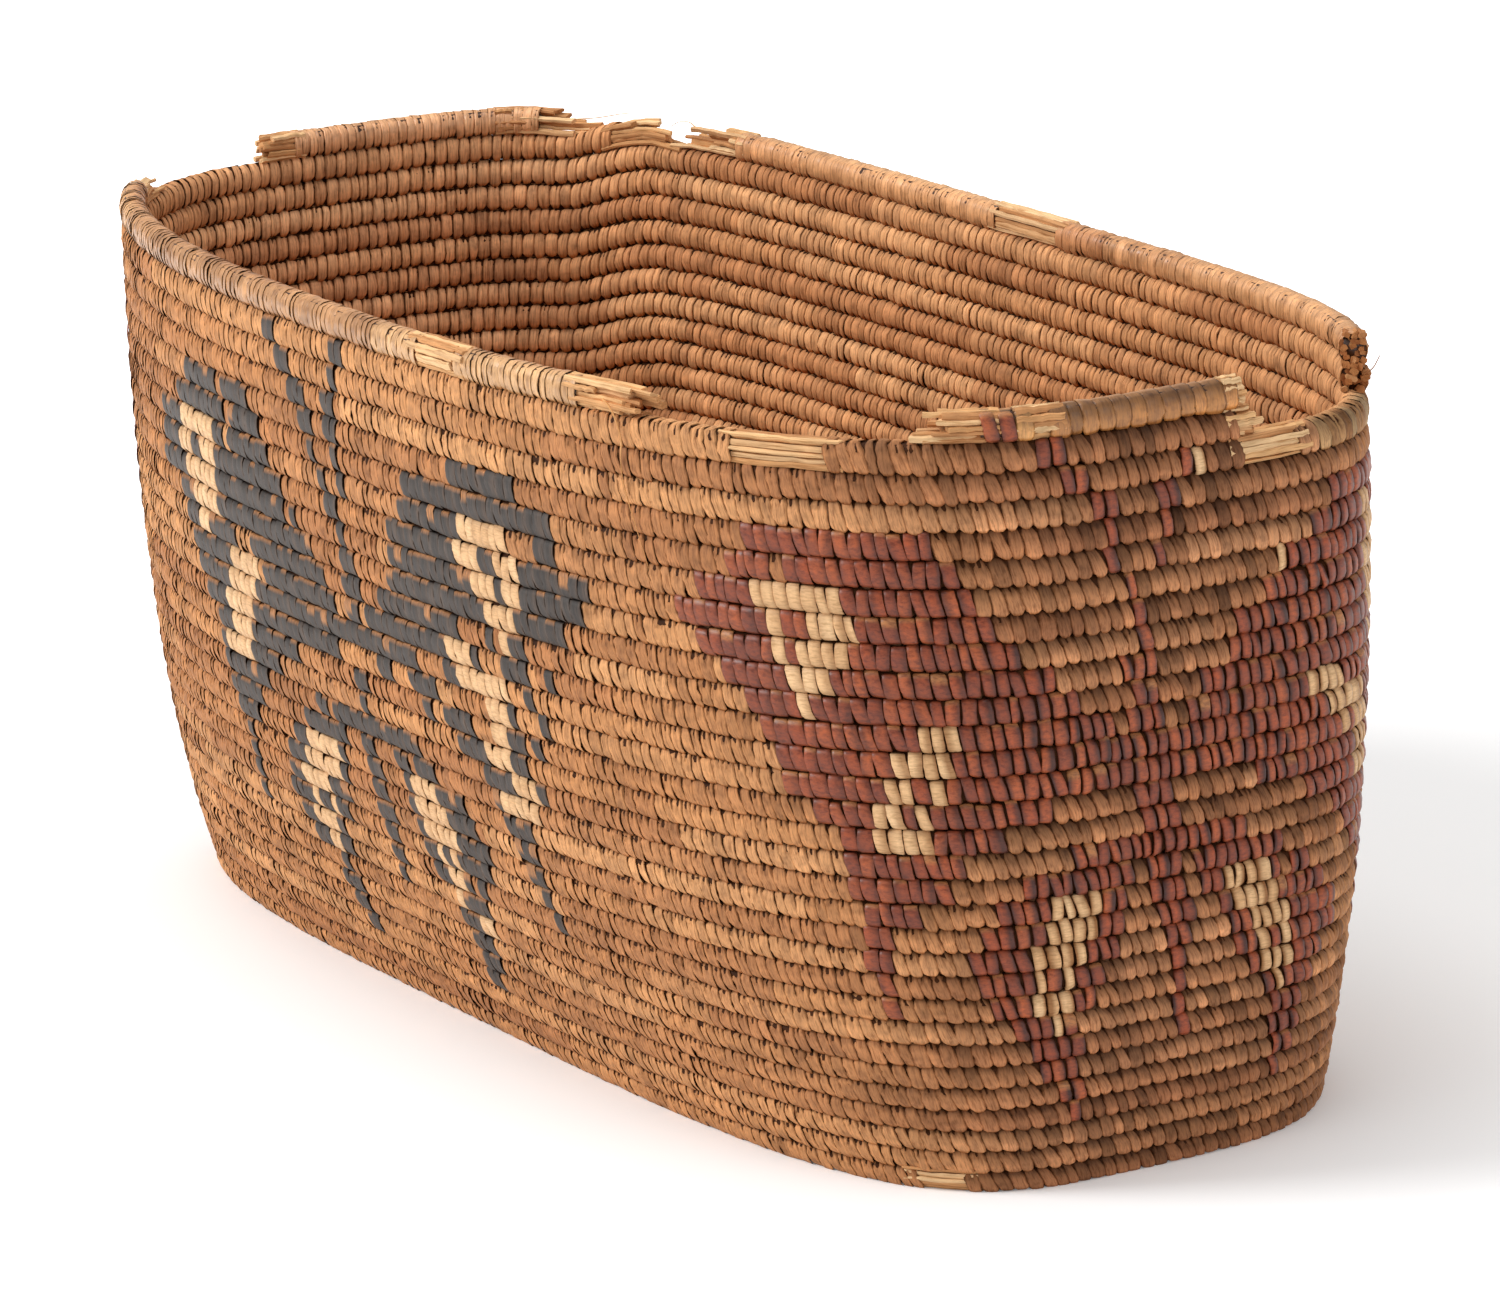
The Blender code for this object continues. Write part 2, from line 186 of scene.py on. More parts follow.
# Section of a folded strip, from its top fold to its lower one: half widths and half heights of the coil
CELL_SECTION = [
    (0.62, 0.93), (0.88, 0.84), (1.06, 0.52), (1.15, 0.05), (1.15, -0.4), (1.07, -0.8),
    (0.88, -1.0), (0.66, -1.06)
]
CELL_WIDTHS = [0.82, 0.89, 0.92, 0.93, 0.93, 0.92, 0.89, 0.82]
CELL_ACROSS = [
    (-0.96, -1.3), (-1.0, -0.5), (-0.84, 0.1), (-0.35, 0.3), (0.35, 0.3), (0.84, 0.1),
    (1.0, -0.5), (0.96, -1.3)
]
CELL_CROWN = 0.0007
CELL_WIDTH_SPREAD = 0.035
CELL_SLANT_SPREAD = 0.08
CELL_CROWN_SPREAD = 0.2
CELL_TILT = 0.3
CELL_ROUGHNESS = 0.08 * MM
CELL_SHIFT_MM = 0.3
LOWER_FOLD_SHIFT = 0.6
# Painted shade and light on a strip from its top fold to its lower one: darker at the folds, lighter on the
# bulge. Then the colour at its edges, which leans to one side so that the other reads lighter as painted
# light, and is weaker on the worn long walls; on the red and cream strips it is partly their own and partly
# painted shade
CELL_PAINTED_SHADES = [0.75, 0.95, 1.0, 1.08, 1.08, 1.0, 0.9, 0.7]
LIT_SIDE = 0.2
LIT_SIDE_SPREAD = 0.3
EDGE_STRENGTH = 0.9
NEAR_EDGE_SHARE = 0.35
DULL_SHARE = 0.45
# Where a strip is worn the sewing shows: far down a few cells, and as small teeth at the top of others
WORN_BLACK_SHARE = 0.14
WORN_RED_SHARE = 0.12
BLACK_TOOTH_SHARE = 0.6
RED_TOOTH_SHARE = 0.3
TOOTH_HEIGHT = 0.8
WORN_LOWEST = -0.3
WORN_RANGE = 1.1
WORN_STRENGTH = 0.8

# The bundle inside the stitches, in half widths and half heights
CORE_SECTION = [
    (0.90, 0.10), (0.84, 0.55), (0.56, 0.96), (0.0, 1.05), (-0.56, 0.96), (-0.84, 0.55),
    (-0.90, -0.10), (-0.82, -0.60), (-0.54, -0.98), (0.0, -1.04), (0.54, -0.98), (0.82, -0.60),
]
CORE_RINGS_PER_CELL = 12
EXPOSED_CORE_TOP = 0.88

# A bare splint: its section, how the splints fill the bundle, and how they differ
SPLINT_SECTION = [(-1.0, 0.0), (-0.75, -0.9), (0.7, -1.0), (1.0, 0.1), (0.75, 0.95), (-0.7, 1.0)]
SPLINT_ROWS = 5
SPLINT_COLUMNS = 4
SPLINT_STEPS = 9
SPLINT_ROOT = 0.005
BUNDLE_WIDTH = 0.74
BUNDLE_HEIGHT = 0.78
BUNDLE_NARROWING = 0.5
SPLINT_HALF_WIDTH = 0.29
SPLINT_HALF_HEIGHT = 0.2
SPLINT_OUT_SPREAD = 0.06
SPLINT_UP_SPREAD = 0.05
SPLINT_WIDTH_SPREAD = 0.22
SPLINT_HEIGHT_SPREAD = 0.2
SPLINT_SHORTEST = 0.05
SPLINT_TURN = 0.35
SPLINT_WOBBLE = 0.12 * MM
SPLINT_SPREAD = 0.5 * MM
SPLINT_SLANT = 0.6 * MM
SPLINT_DARKEST = 0.8
SHAVING_STAGGER = 2.0 * MM
SHAVING_HALF_WIDTH = 1.5 * MM
SHAVING_HALF_HEIGHT = 0.5 * MM

# Loose fibres
FIBRE_SIDES = 6
FIBRE_TIP = 0.45
FIBRE_FLATNESS = 0.5
FIBRE_SIDE_HINT = (0.13, 0.21, 0.97)
FIBRE_SMOOTHINGS = 3

# Where the fibre noise is read, in mm for each ring or side, and how far apart for separate pieces
STITCH_GRAIN = 2.0
CELL_GRAIN = 1.2
CORE_GRAIN = 3.0
SPLINT_GRAIN = 1.1
GRAIN_DEPTH = 90.0
BAKE_MARGIN = 0.06
WHITE = (1.0, 1.0, 1.0, 1.0)


def linear(red, green, blue):
    """A colour as seen, 0 to 255, in the linear numbers that materials take."""
    return np.array([((c / 255.0 + 0.055) / 1.055) ** 2.4 for c in (red, green, blue)])


def line_height(line):
    share = line / COURSE_COUNT
    return WALL_HEIGHT * share * (1.0 - PITCH_SPREAD_SHARE * (1.0 - share))


def mix(low, high, share):
    return low + (high - low) * share


def signed_power(value, power):
    return np.sign(value) * np.abs(value) ** power


def vary(random, spread, *shape):
    """Random values about zero."""
    return spread * random.standard_normal(shape)


def side_by_side(*values):
    """The values in a last axis, each spread to the same shape."""
    return np.stack(np.broadcast_arrays(*values), -1)


def add_object(name, data):
    thing = bpy.data.objects.new(name, data)
    bpy.context.scene.collection.objects.link(thing)
    return thing


def outline(height, angle, inset=0.0):
    """Plan outline at heights and angles (degrees from +X), as in the CAD source."""
    flare = 1.0 - (1.0 - np.clip(height / WALL_HEIGHT, 0.0, 1.0)) ** FLARE_EXPONENT
    half_length = mix(BASE_HALF_LENGTH, RIM_HALF_LENGTH, flare) - inset
    cosine = np.cos(np.radians(angle))
    sine = np.sin(np.radians(angle))
    near = sine < 0.0
    base_half_width = np.where(near, BASE_NEAR_HALF_WIDTH, BASE_FAR_HALF_WIDTH)
    half_width = mix(base_half_width, RIM_HALF_WIDTH, flare) - inset
    squareness = mix(
        np.where(near, BASE_NEAR_SQUARENESS, BASE_FAR_SQUARENESS),
        np.where(near, RIM_NEAR_SQUARENESS, RIM_FAR_SQUARENESS),
        flare,
    )
    power = 2.0 / squareness
    return half_length * signed_power(cosine, power), half_width * signed_power(sine, power)


def climb(turn):
    share = np.clip((turn - CLIMB_START) / (CLIMB_END - CLIMB_START), 0.0, 1.0)
    return share * share * (3.0 - 2.0 * share)


class Course:
    """One turn of the coil: its centre line, its outward direction and its lean, by place along it."""

    def __init__(self, number):
        self.number = number
        self.on_floor = number == 1
        self.half_width = COIL_WIDTH / 2.0
        self.low = line_height(number - 1)
        self.pitch = line_height(number) - self.low
        self.half_height = self.pitch / 2.0
        turns = np.linspace(-TURN_OVERRUN, FULL_TURN + TURN_OVERRUN, TURN_SAMPLES)
        height = self.low + climb(turns) * self.pitch
        angles = SEAM_ANGLE - turns
        centre_x, centre_y = outline(height + self.pitch / 2.0, angles, COIL_WIDTH / 2.0)
        rise = FAR_END_RISE * (height / WALL_HEIGHT) * (0.5 - 0.5 * centre_x / RIM_HALF_LENGTH)
        centre_z = height + rise + self.pitch / 2.0
        outer_x, outer_y = outline(height + self.pitch / 2.0, angles)
        steps = np.hypot(np.diff(outer_x), np.diff(outer_y))
        length = np.concatenate([[0.0], np.cumsum(steps)])
        place = np.interp(NEAR_CORNER, turns, length) - length
        along_x, along_y = np.gradient(centre_x), np.gradient(centre_y)
        size = np.hypot(along_x, along_y)
        out_x, out_y = -along_y / size, along_x / size
        top_x, top_y = outline(height + self.pitch, angles, COIL_WIDTH / 2.0)
        base_x, base_y = outline(height, angles, COIL_WIDTH / 2.0)
        lean = ((top_x - base_x) * out_x + (top_y - base_y) * out_y) / self.pitch
        self.turns = turns[::-1]
        self.place = place[::-1]
        self.rows = [values[::-1] for values in (centre_x, centre_y, centre_z, out_x, out_y, lean)]

    def turn_place(self, turn):
        return float(np.interp(turn, self.turns[::-1], self.place[::-1]))

    def facing_end(self, place):
        """How far the outside looks along +X, 0 to 1."""
        return np.clip(np.interp(place, self.place, self.rows[3]), 0.0, 1.0)

    def age(self, place, tint):
        """The tint that the outside takes where it faces along +X, and less so where it turns away."""
        return 1.0 - (1.0 - tint) * self.facing_end(place)[:, None] ** 2

    def inner_tone_and_light(self, place):
        """Tint of the inside: the far end is greyer than the long walls, and painted lighter where it lies
        in shade.
        """
        facing = np.clip(-np.interp(place, self.place, self.rows[3]), 0.0, 1.0)
        return 1.0 - (1.0 - FAR_INSIDE_TONE_AND_LIGHT) * facing[:, None] ** 2

    def points(self, place, out, up):
        """Points at places along the coil, `out` and `up` metres from its centre line."""
        x, y, z, out_x, out_y, lean = (np.interp(place, self.place, row) for row in self.rows)
        away = out + lean * up
        return np.stack([x + away * out_x, y + away * out_y, z + up], -1)


class Tip(Course):
    """The thin start of the first course, under its climbing end: the same coil at a smaller size."""

    def __init__(self):
        super().__init__(1)
        self.size = np.maximum(climb(self.turns), 0.0)
        self.rows[:2] = outline(self.pitch / 2.0, SEAM_ANGLE - self.turns, COIL_WIDTH / 2.0)

    def points(self, place, out, up):
        x, y, _, out_x, out_y, _ = (np.interp(place, self.place, row) for row in self.rows)
        size = np.interp(place, self.place, self.size)
        return np.stack([x + size * out * out_x, y + size * out * out_y, size * (up + self.half_height)], -1)


class Weave:
    """Grids of quads gathered into one mesh, each with its own cells of the bake map."""

    def __init__(self):
        self.points, self.tints, self.grains = [], [], []
        self.quads, self.corners, self.cells, self.smooth = [], [], [], []
        self.point_count = 0
        self.cell_count = 0

    def add(self, points, tints, grains, closed_rings=False, rings_per_cell=None, smooth=True):
        """points[item, ring, side, xyz]: sides always close; rings close too or end in flat caps."""
        items, rings, sides, _ = points.shape
        spans = rings if closed_rings else rings - 1
        per_cell = rings_per_cell or spans
        quads, corners, cells = [], [], []

        def add_quad(quad, column, columns, low, high, cell):
            left, right = column / columns, (column + 1) / columns
            quads.append(quad)
            corners.append(((left, low), (right, low), (right, high), (left, high)))
            cells.append(cell)

        for ring in range(spans):
            here, there = ring * sides, (ring + 1) % rings * sides
            row = ring % per_cell
            low, high = (row + 1) / (per_cell + 2), (row + 2) / (per_cell + 2)
            for side in range(sides):
                beside = (side + 1) % sides
                quad = (here + side, here + beside, there + beside, there + side)
                add_quad(quad, side, sides, low, high, ring // per_cell)
        if not closed_rings:
            half = sides // 2 - 1
            cap = 1.0 / (per_cell + 2)
            bottom, top = (0, 0.0, cap, 0), ((rings - 1) * sides, 1.0 - cap, 1.0, cells[-1])
            for first, low, high, cell in (bottom, top):
                for step in range(half):
                    left, right = first + step, first + sides - 1 - step
                    quad = (left, left + 1, right - 1, right)
                    add_quad(quad if first else quad[::-1], step, half, low, high, cell)
        quads = np.array(quads)
        if self.turned_in(points[0].reshape(-1, 3), quads):
            quads = quads[:, ::-1]
        offsets = self.point_count + np.arange(items) * rings * sides
        cells_each = max(cells) + 1
        self.quads.append((quads[None] + offsets[:, None, None]).reshape(-1, 4))
        each = np.broadcast_to(np.array(corners)[None], (items, len(corners), 4, 2))
        self.corners.append(each.reshape(-1, 4, 2))
        first_cells = self.cell_count + np.arange(items) * cells_each
        self.cells.append((np.array(cells)[None] + first_cells[:, None]).reshape(-1))
        self.smooth.append(np.full(items * len(quads), smooth))
        self.cell_count += items * cells_each
        self.point_count += items * rings * sides
        self.points.append(points.reshape(-1, 3))
        self.tints.append(np.broadcast_to(tints, points.shape).reshape(-1, 3))
        self.grains.append(np.broadcast_to(grains, points.shape).reshape(-1, 3))

    @staticmethod
    def turned_in(points, quads):
        """True if the first item's faces point inwards, by its signed volume."""
        a, b, c, d = (points[quads[:, corner]] - points.mean(0) for corner in range(4))
        volume = (np.cross(a, b) * c).sum() + (np.cross(a, c) * d).sum()
        return volume < 0.0

    def finish(self, name, material):
        points, quads, corners, cells, tints, grains = (
            np.concatenate(values)
            for values in (self.points, self.quads, self.corners, self.cells, self.tints, self.grains)
        )
        columns = math.ceil(math.sqrt(self.cell_count))
        rows = math.ceil(self.cell_count / columns)
        inner = BAKE_MARGIN + corners * (1.0 - 2.0 * BAKE_MARGIN)
        bake = np.stack([cells % columns, cells // columns], -1)[:, None] + inner
        bake /= np.array([columns, rows])
        mesh = bpy.data.meshes.new(name)
        mesh.vertices.add(len(points))
        mesh.vertices.foreach_set("co", points.astype(np.float32).ravel())
        mesh.loops.add(quads.size)
        mesh.loops.foreach_set("vertex_index", quads.astype(np.int32).ravel())
        mesh.polygons.add(len(quads))
        mesh.polygons.foreach_set("loop_start", np.arange(0, quads.size, 4, dtype=np.int32))
        mesh.polygons.foreach_set("use_smooth", np.concatenate(self.smooth))
        mesh.update(calc_edges=True)
        layer = mesh.uv_layers.new(name="OFBake")
        layer.uv.foreach_set("vector", bake.astype(np.float32).ravel())
        tint = mesh.attributes.new("tint", "FLOAT_COLOR", "POINT")
        colours = np.hstack([tints, np.ones((len(tints), 1))])
        tint.data.foreach_set("color", colours.astype(np.float32).ravel())
        grain = mesh.attributes.new("grain", "FLOAT_VECTOR", "POINT")
        grain.data.foreach_set("vector", grains.astype(np.float32).ravel())
        mesh.materials.append(material)
        return add_object(name, mesh)


def nodes_of(name):
    material = bpy.data.materials.new(name)
    material.use_nodes = True
    tree = material.node_tree
    return material, tree, tree.nodes["Principled BSDF"]


def add_node(tree, kind, inputs, **settings):
    """A node of a kind, with its settings, and with a link or a constant for each input that is named."""
    node = tree.nodes.new(kind)
    for name, value in settings.items():
        setattr(node, name, value)
    for name, value in inputs.items():
        if isinstance(value, bpy.types.NodeSocket):
            tree.links.new(value, node.inputs[name])
        else:
            node.inputs[name].default_value = value
    return node


def add_noise(tree, vector, scale, detail, roughness):
    inputs = {"Vector": vector, "Scale": scale, "Detail": detail, "Roughness": roughness}
    return add_node(tree, "ShaderNodeTexNoise", inputs).outputs["Fac"]


def multiply_colours(tree, factor, first, second):
    inputs = {"Factor": factor, "A": first, "B": second}
    return add_node(tree, "ShaderNodeMix", inputs, data_type="RGBA", blend_type="MULTIPLY").outputs["Result"]


def add_range(tree, value, low, high, to_low, to_high):
    inputs = {"Value": value, "From Min": low, "From Max": high, "To Min": to_low, "To Max": to_high}
    return add_node(tree, "ShaderNodeMapRange", inputs).outputs["Result"]


# Noise of the fibres, and of aged patches, large and small: scale, detail and roughness. The streaks are
# dark and light at two values of the noise, and patches start at one value and are full at another.
FIBRE_NOISE = (1.0, 4.0, 0.65)
DARK_STREAK, MIDDLE_STREAK, LIGHT_STREAK = 0.33, 0.5, 0.67
PATCHES = [((45.0, 3.0, 0.6), 0.48, 0.68), ((330.0, 2.0, 0.6), 0.52, 0.72)]
GLOSS_LOW, GLOSS_HIGH = 0.3, 0.7
SMOOTHER, ROUGHER = 0.08, 0.1
BUMP_DISTANCE = 0.15 * MM


def fibre_material(name, streak, dark, light, roughness, bump, shine, patch=None, patch_share=0.5):
    """Colour from the mesh's own tints, streaked along the fibre and blotched with age."""
    material, tree, shader = nodes_of(name)
    shader.inputs["Specular IOR Level"].default_value = shine
    tint = add_node(tree, "ShaderNodeAttribute", {}, attribute_name="tint").outputs["Color"]
    grain = add_node(tree, "ShaderNodeAttribute", {}, attribute_name="grain").outputs["Vector"]
    stretched = add_node(tree, "ShaderNodeMapping", {"Vector": grain, "Scale": streak}).outputs["Vector"]
    fibres = add_noise(tree, stretched, *FIBRE_NOISE)
    ramp = add_node(tree, "ShaderNodeValToRGB", {"Fac": fibres})
    for end, place, streak_colour in ((0, DARK_STREAK, dark), (1, LIGHT_STREAK, light)):
        ramp.color_ramp.elements[end].position = place
        ramp.color_ramp.elements[end].color = (*streak_colour, 1.0)
    ramp.color_ramp.elements.new(MIDDLE_STREAK).color = WHITE
    colour = multiply_colours(tree, 1.0, tint, ramp.outputs["Color"])
    if patch is not None:
        place = add_node(tree, "ShaderNodeTexCoord", {}).outputs["Object"]
        for noise, start, full in PATCHES:
            share = add_range(tree, add_noise(tree, place, *noise), start, full, 0.0, patch_share)
            colour = multiply_colours(tree, share, colour, (*patch, 1.0))
    gloss = add_range(tree, fibres, GLOSS_LOW, GLOSS_HIGH, roughness - SMOOTHER, roughness + ROUGHER)
    relief = {"Strength": bump, "Distance": BUMP_DISTANCE, "Height": fibres}
    normal = add_node(tree, "ShaderNodeBump", relief).outputs["Normal"]
    for name, socket in (("Base Color", colour), ("Roughness", gloss), ("Normal", normal)):
        tree.links.new(socket, shader.inputs[name])
    return material


# Figures, as shapes of one material each. A shape is (row of courses from the rim, first and last stitch
# from the near corner) wherever an edge of it turns, and straight in between. Later lists cover earlier.
BLACK_SHAPES = [
    [(4, -74, -62), (5, -76, -60), (6, -81, -58.5), (8, -81, -55), (9, -78, -53), (12, -76.5, -49.5),
     (13, -75, -51), (14, -74, -59), (16, -74, -66.5), (19, -74, -72.5), (22, -75, -73.7)],
    [(4, -30, -21.5), (5, -36.5, -17.5), (6, -37.5, -17), (7, -39.5, -14), (8, -40, -14.5), (9, -41, -17.5),
     (10, -43, -31), (11, -45, -33), (12, -50, -38.5)],
    [(1, -58, -56), (3, -53.5, -51.3), (5, -51.4, -50.2), (8, -48.3, -46.8)],
    [(1, -46.5, -45), (3, -48.3, -46.7), (6, -47.4, -46.3)],
    [(7, -48.7, -47.3), (8, -48.3, -46.8), (9, -48.5, -45.8), (12, -48.7, -46)],
    [(10, -27.7, -26.5), (11, -30, -28.9), (12, -34, -32.6), (13, -37.5, -36.1)],
    [(13, -40, -38.3), (14, -38.5, -37.2)],
    [(14, -35.5, -31.4), (15, -34, -30), (16, -31.5, -26.8), (18, -30, -26), (20, -28.2, -26.2),
     (22, -26.8, -25.8)],
    [(10, -23.8, -22.6), (11, -25.9, -22.8), (12, -23.7, -22.7), (13, -22.1, -21.1), (14, -23.6, -22.3)],
    [(13, -26.1, -24.8), (15, -26.5, -24.7), (16, -24.5, -23.4)],
    [(11, -20.5, -19)],
    [(13, -44.7, -42.4)],
    [(14, -49.7, -47), (15, -49.9, -48.4)],
    [(16, -57.4, -41)],
    [(17, -50.8, -49.6), (19, -50.9, -49.1), (21, -51.9, -49.2), (22, -51.4, -50.3), (23, -51.7, -50.4)],
    [(17, -60.5, -53.5), (18, -64, -54.5), (19, -65.5, -56), (21, -67.5, -58), (22, -67, -59.6),
     (23, -66, -60.2),
     (24, -63.3, -61.7), (25, -63.9, -61.3), (27, -63, -61)],
    [(17, -46, -40), (18, -45.5, -36), (20, -45.2, -34.7), (21, -45, -35.4), (22, -44.3, -36.7),
     (23, -43, -37.7),
     (24, -43, -39.8), (26, -42.7, -39.9), (27, -42.6, -41)],
]
RED_SHAPES = [
    [(4, 1.3, 14.7), (7, -5, 18.7), (8, -3.8, 20.3), (9, -1.7, 22), (11, 1, 26.4), (12, 1.7, 30),
     (13, 3.1, 30),
     (14, 5.1, 20.6), (16, 6.6, 14.5), (18, 6.6, 11.2), (19, 6.8, 8.7), (22, 7, 7.9)],
    [(4, 46, 56.5), (7, 39.2, 63), (8, 37.4, 62), (9, 36.2, 59.7), (10, 33.9, 58), (12, 30, 56),
     (13, 30, 55),
     (14, 37.4, 53), (15, 41.4, 52.2), (16, 44.3, 51.4), (18, 47, 51.4), (19, 49.5, 51.4), (22, 50.2, 51.2)],
    [(7, 28.7, 29.7), (8, 28.5, 29.5), (9, 27.6, 30.4), (15, 27.6, 30.6)],
    [(16, 22, 36.2)],
    [(17, 28, 30.8), (20, 28, 30.5), (21, 28.3, 29.6), (24, 27.8, 28.7)],
    [(1, 22, 23.7), (2, 23.7, 25.2), (3, 25.5, 27.3), (5, 26.8, 27.7), (6, 27.7, 28.6)],
    [(2, 33, 34.2), (3, 30.5, 32.9), (4, 30.7, 31.8), (6, 29.7, 30.6)],
    [(17, 18, 27), (18, 16, 25.7), (20, 13.8, 24.2), (21, 13.8, 23), (22, 14.5, 21.4), (23, 15.1, 19.9),
     (24, 15.7, 19.8), (27, 17.2, 18.5)],
    [(17, 31.6, 39.3), (18, 32.2, 41.5), (20, 33.3, 43.8), (21, 34, 43.9), (22, 35.1, 42.2),
     (23, 35.9, 40.7),
     (25, 35, 38.1), (27, 34.6, 35.8)],
]
BARE_SHAPES = [
    [(4, -68, -66), (5, -66.7, -65.3), (6, -67, -66)],
    [(8, -56.8, -55.7)],
    [(10, -67.4, -64.2), (11, -63.6, -62.3)],
    [(6, -22.6, -20.1)],
    [(16, -55.8, -54.7)],
    [(17, -43.5, -42.3)],
    [(22, -39.4, -38)],
    [(5, 3.1, 4)],
    [(9, 47.9, 49)],
    [(18, 38.6, 39.5)],
]
CREAM_SHAPES = [
    [(6, -76, -69.3), (7, -77, -69.3), (9, -75, -70), (10, -74.7, -72.4)],
    [(11, -68.8, -63.8), (12, -69.5, -65), (13, -70.7, -66), (14, -71, -67.4), (15, -72.8, -67.8)],
    [(6, -29.2, -22.7), (7, -30, -22.4), (8, -28.5, -22), (9, -27, -22.9), (10, -25, -23.8)],
    [(11, -33, -30), (12, -32, -25.5), (13, -28.4, -26.3), (15, -29.9, -26.8), (16, -26.8, -24.6)],
    [(17, -30, -25)],
    [(18, -61.2, -56.3), (19, -62.9, -57.3), (20, -64.3, -59.5), (21, -64, -60.2), (22, -64.4, -60.7),
     (23, -63.7, -61.9)],
    [(18, -44.2, -40), (19, -44.4, -39.2), (21, -43.4, -39.8), (22, -43, -40.5), (23, -42.6, -41.2)],
    [(24, -39.9, -38.4)],
    [(6, 1.7, 8), (7, 2.1, 9), (8, 2.4, 8.5), (9, 3.4, 7), (10, 4.6, 5.7)],
    [(11, 13, 15.6), (12, 10.7, 14.8), (13, 9.6, 13.8), (14, 9.1, 12.6), (15, 9.1, 12.8)],
    [(11, 43.4, 46.8), (12, 44.6, 50.6), (13, 46, 51.5), (14, 48, 51), (15, 48, 50.5)],
    [(5, 50, 53), (6, 51, 56), (8, 51, 55.6), (9, 51.5, 54.6), (10, 52.3, 53.4)],
    [(2, 34.1, 35)],
    [(6, 40.8, 41.9)],
    [(14, 20.6, 21.5)],
    [(18, 19.9, 23.8), (19, 18.8, 22.8), (20, 17.6, 22), (21, 17.6, 20.8), (22, 17.4, 20.3),
     (23, 17.9, 18.9)],
    [(18, 34, 37.8), (19, 34.6, 38.3), (20, 35.3, 39.3), (22, 36, 39.2), (23, 36.8, 37.9)],
]
BLACK_SPOTS = [
    [(7, -74, -72.2)],
    [(7, -26.4, -24.9), (8, -25.4, -24.2)],
    [(21, -62.4, -61.3)],
    [(21, -42.2, -41)],
]
RED_SPOTS = [
    [(7, 4, 5.6), (8, 4.2, 5)],
    [(13, 12, 12.9), (14, 10.5, 11.6)],
    [(13, 47, 48.7)],
    [(21, 18.8, 19.8)],
    [(21, 37.1, 38.2)],
]
# A span that misses every stitch still takes one that is nearer than this, in stitches
NARROWEST = 0.7


def inside(shapes, row, stitches):
    """Which places (in stitches from the near corner) lie in any of the shapes in one row of courses."""
    found = np.zeros(len(stitches), dtype=bool)
    for shape in shapes:
        rows, starts, ends = np.array(shape).T
        if not rows[0] <= row <= rows[-1]:
            continue
        start = np.interp(row, rows, starts)
        end = np.interp(row, rows, ends)
        caught = (stitches > start) & (stitches < end)
        middle = (start + end) / 2.0
        nearest = np.argmin(np.abs(stitches - middle))
        if not caught.any() and abs(stitches[nearest] - middle) < NARROWEST:
            caught[nearest] = True
        found |= caught
    return found


def figure_cells(row, stitches):
    """Which stitches of a row are covered by black bark, red bark and cream straw."""
    cream = inside(CREAM_SHAPES, row, stitches)
    bare = inside(BARE_SHAPES, row, stitches)
    black = inside(BLACK_SHAPES, row, stitches) & ~bare & ~cream | inside(BLACK_SPOTS, row, stitches)
    red = inside(RED_SHAPES, row, stitches) & ~bare & ~cream | inside(RED_SPOTS, row, stitches)
    return black, red, cream & ~black & ~red


def place_stitches(low, high, random, pitch=STITCH_PITCH):
    """Centres and widths of the stitches that fill one stretch of coil."""
    count = max(1, round((high - low) / pitch))
    widths = np.clip(1.0 + vary(random, FILL_SPREAD, count), NARROWEST_STITCH, WIDEST_STITCH)
    widths *= (high - low) / widths.sum()
    return low + np.cumsum(widths) - widths / 2.0, widths


PLAIN_TAN = [linear(216, 155, 103), linear(200, 140, 92), linear(224, 166, 114), linear(190, 131, 87)]
INSIDE_TAN = [linear(226, 165, 114), linear(214, 153, 103), linear(234, 176, 124), linear(202, 141, 95)]
RIM_TAN = [linear(226, 174, 120), linear(208, 156, 104), linear(234, 188, 136), linear(194, 144, 98)]
# The end wall's outside is darker and greyer with age; its bluer cast is a painted sheen of highlights
END_WALL_AGE_AND_SHEEN = np.array([0.69, 0.65, 0.72])
# The far end's inside: greyer in tone, and painted lighter as it lies in shade
FAR_INSIDE_TONE_AND_LIGHT = np.array([1.12, 1.22, 1.40])
RIM_AGE = np.array([1.0, 0.84, 0.58])
DIRT = linear(140, 100, 72)
OLD_GREY = np.array([0.52, 0.50, 0.52])
OLD_BROWN = np.array([0.52, 0.45, 0.40])
# The bundle is painted dark brown as the shade in the gaps between stitches
CORE_SHADE_BROWN = linear(64, 34, 12)
# Painted shade in the gaps and joints between stitches is a warmer brown than plain shade
GAP_WARMTH = np.array([0.9, 1.05, 1.25])
JOINT_WARMTH = np.array([0.7, 1.1, 1.8])
GROOVE_SHADE = np.array([0.45, 0.55, 0.65])
RED_BARK = [linear(168, 78, 44), linear(130, 62, 42), linear(192, 102, 58), linear(106, 50, 40)]
RED_EDGE_SHADE = linear(66, 34, 27)
RED_DULL = linear(108, 54, 34)
WORN_TAN = linear(178, 122, 76)
BLACK_BARK = [linear(60, 56, 54), linear(48, 44, 42), linear(76, 71, 68), linear(42, 38, 36)]
BLACK_EDGE = linear(112, 90, 74)
BLACK_DULL = linear(60, 54, 50)
CREAM_STRAW = [linear(238, 195, 146), linear(224, 179, 130), linear(246, 210, 164), linear(208, 160, 112)]
CREAM_EDGE_SHADE = linear(152, 104, 62)
CREAM_DULL = linear(226, 184, 138)
STRAW_STAIN = np.array([0.66, 0.58, 0.48])
BARE_WOOD = [linear(236, 186, 130), linear(216, 160, 106), linear(242, 202, 152), linear(202, 144, 94)]
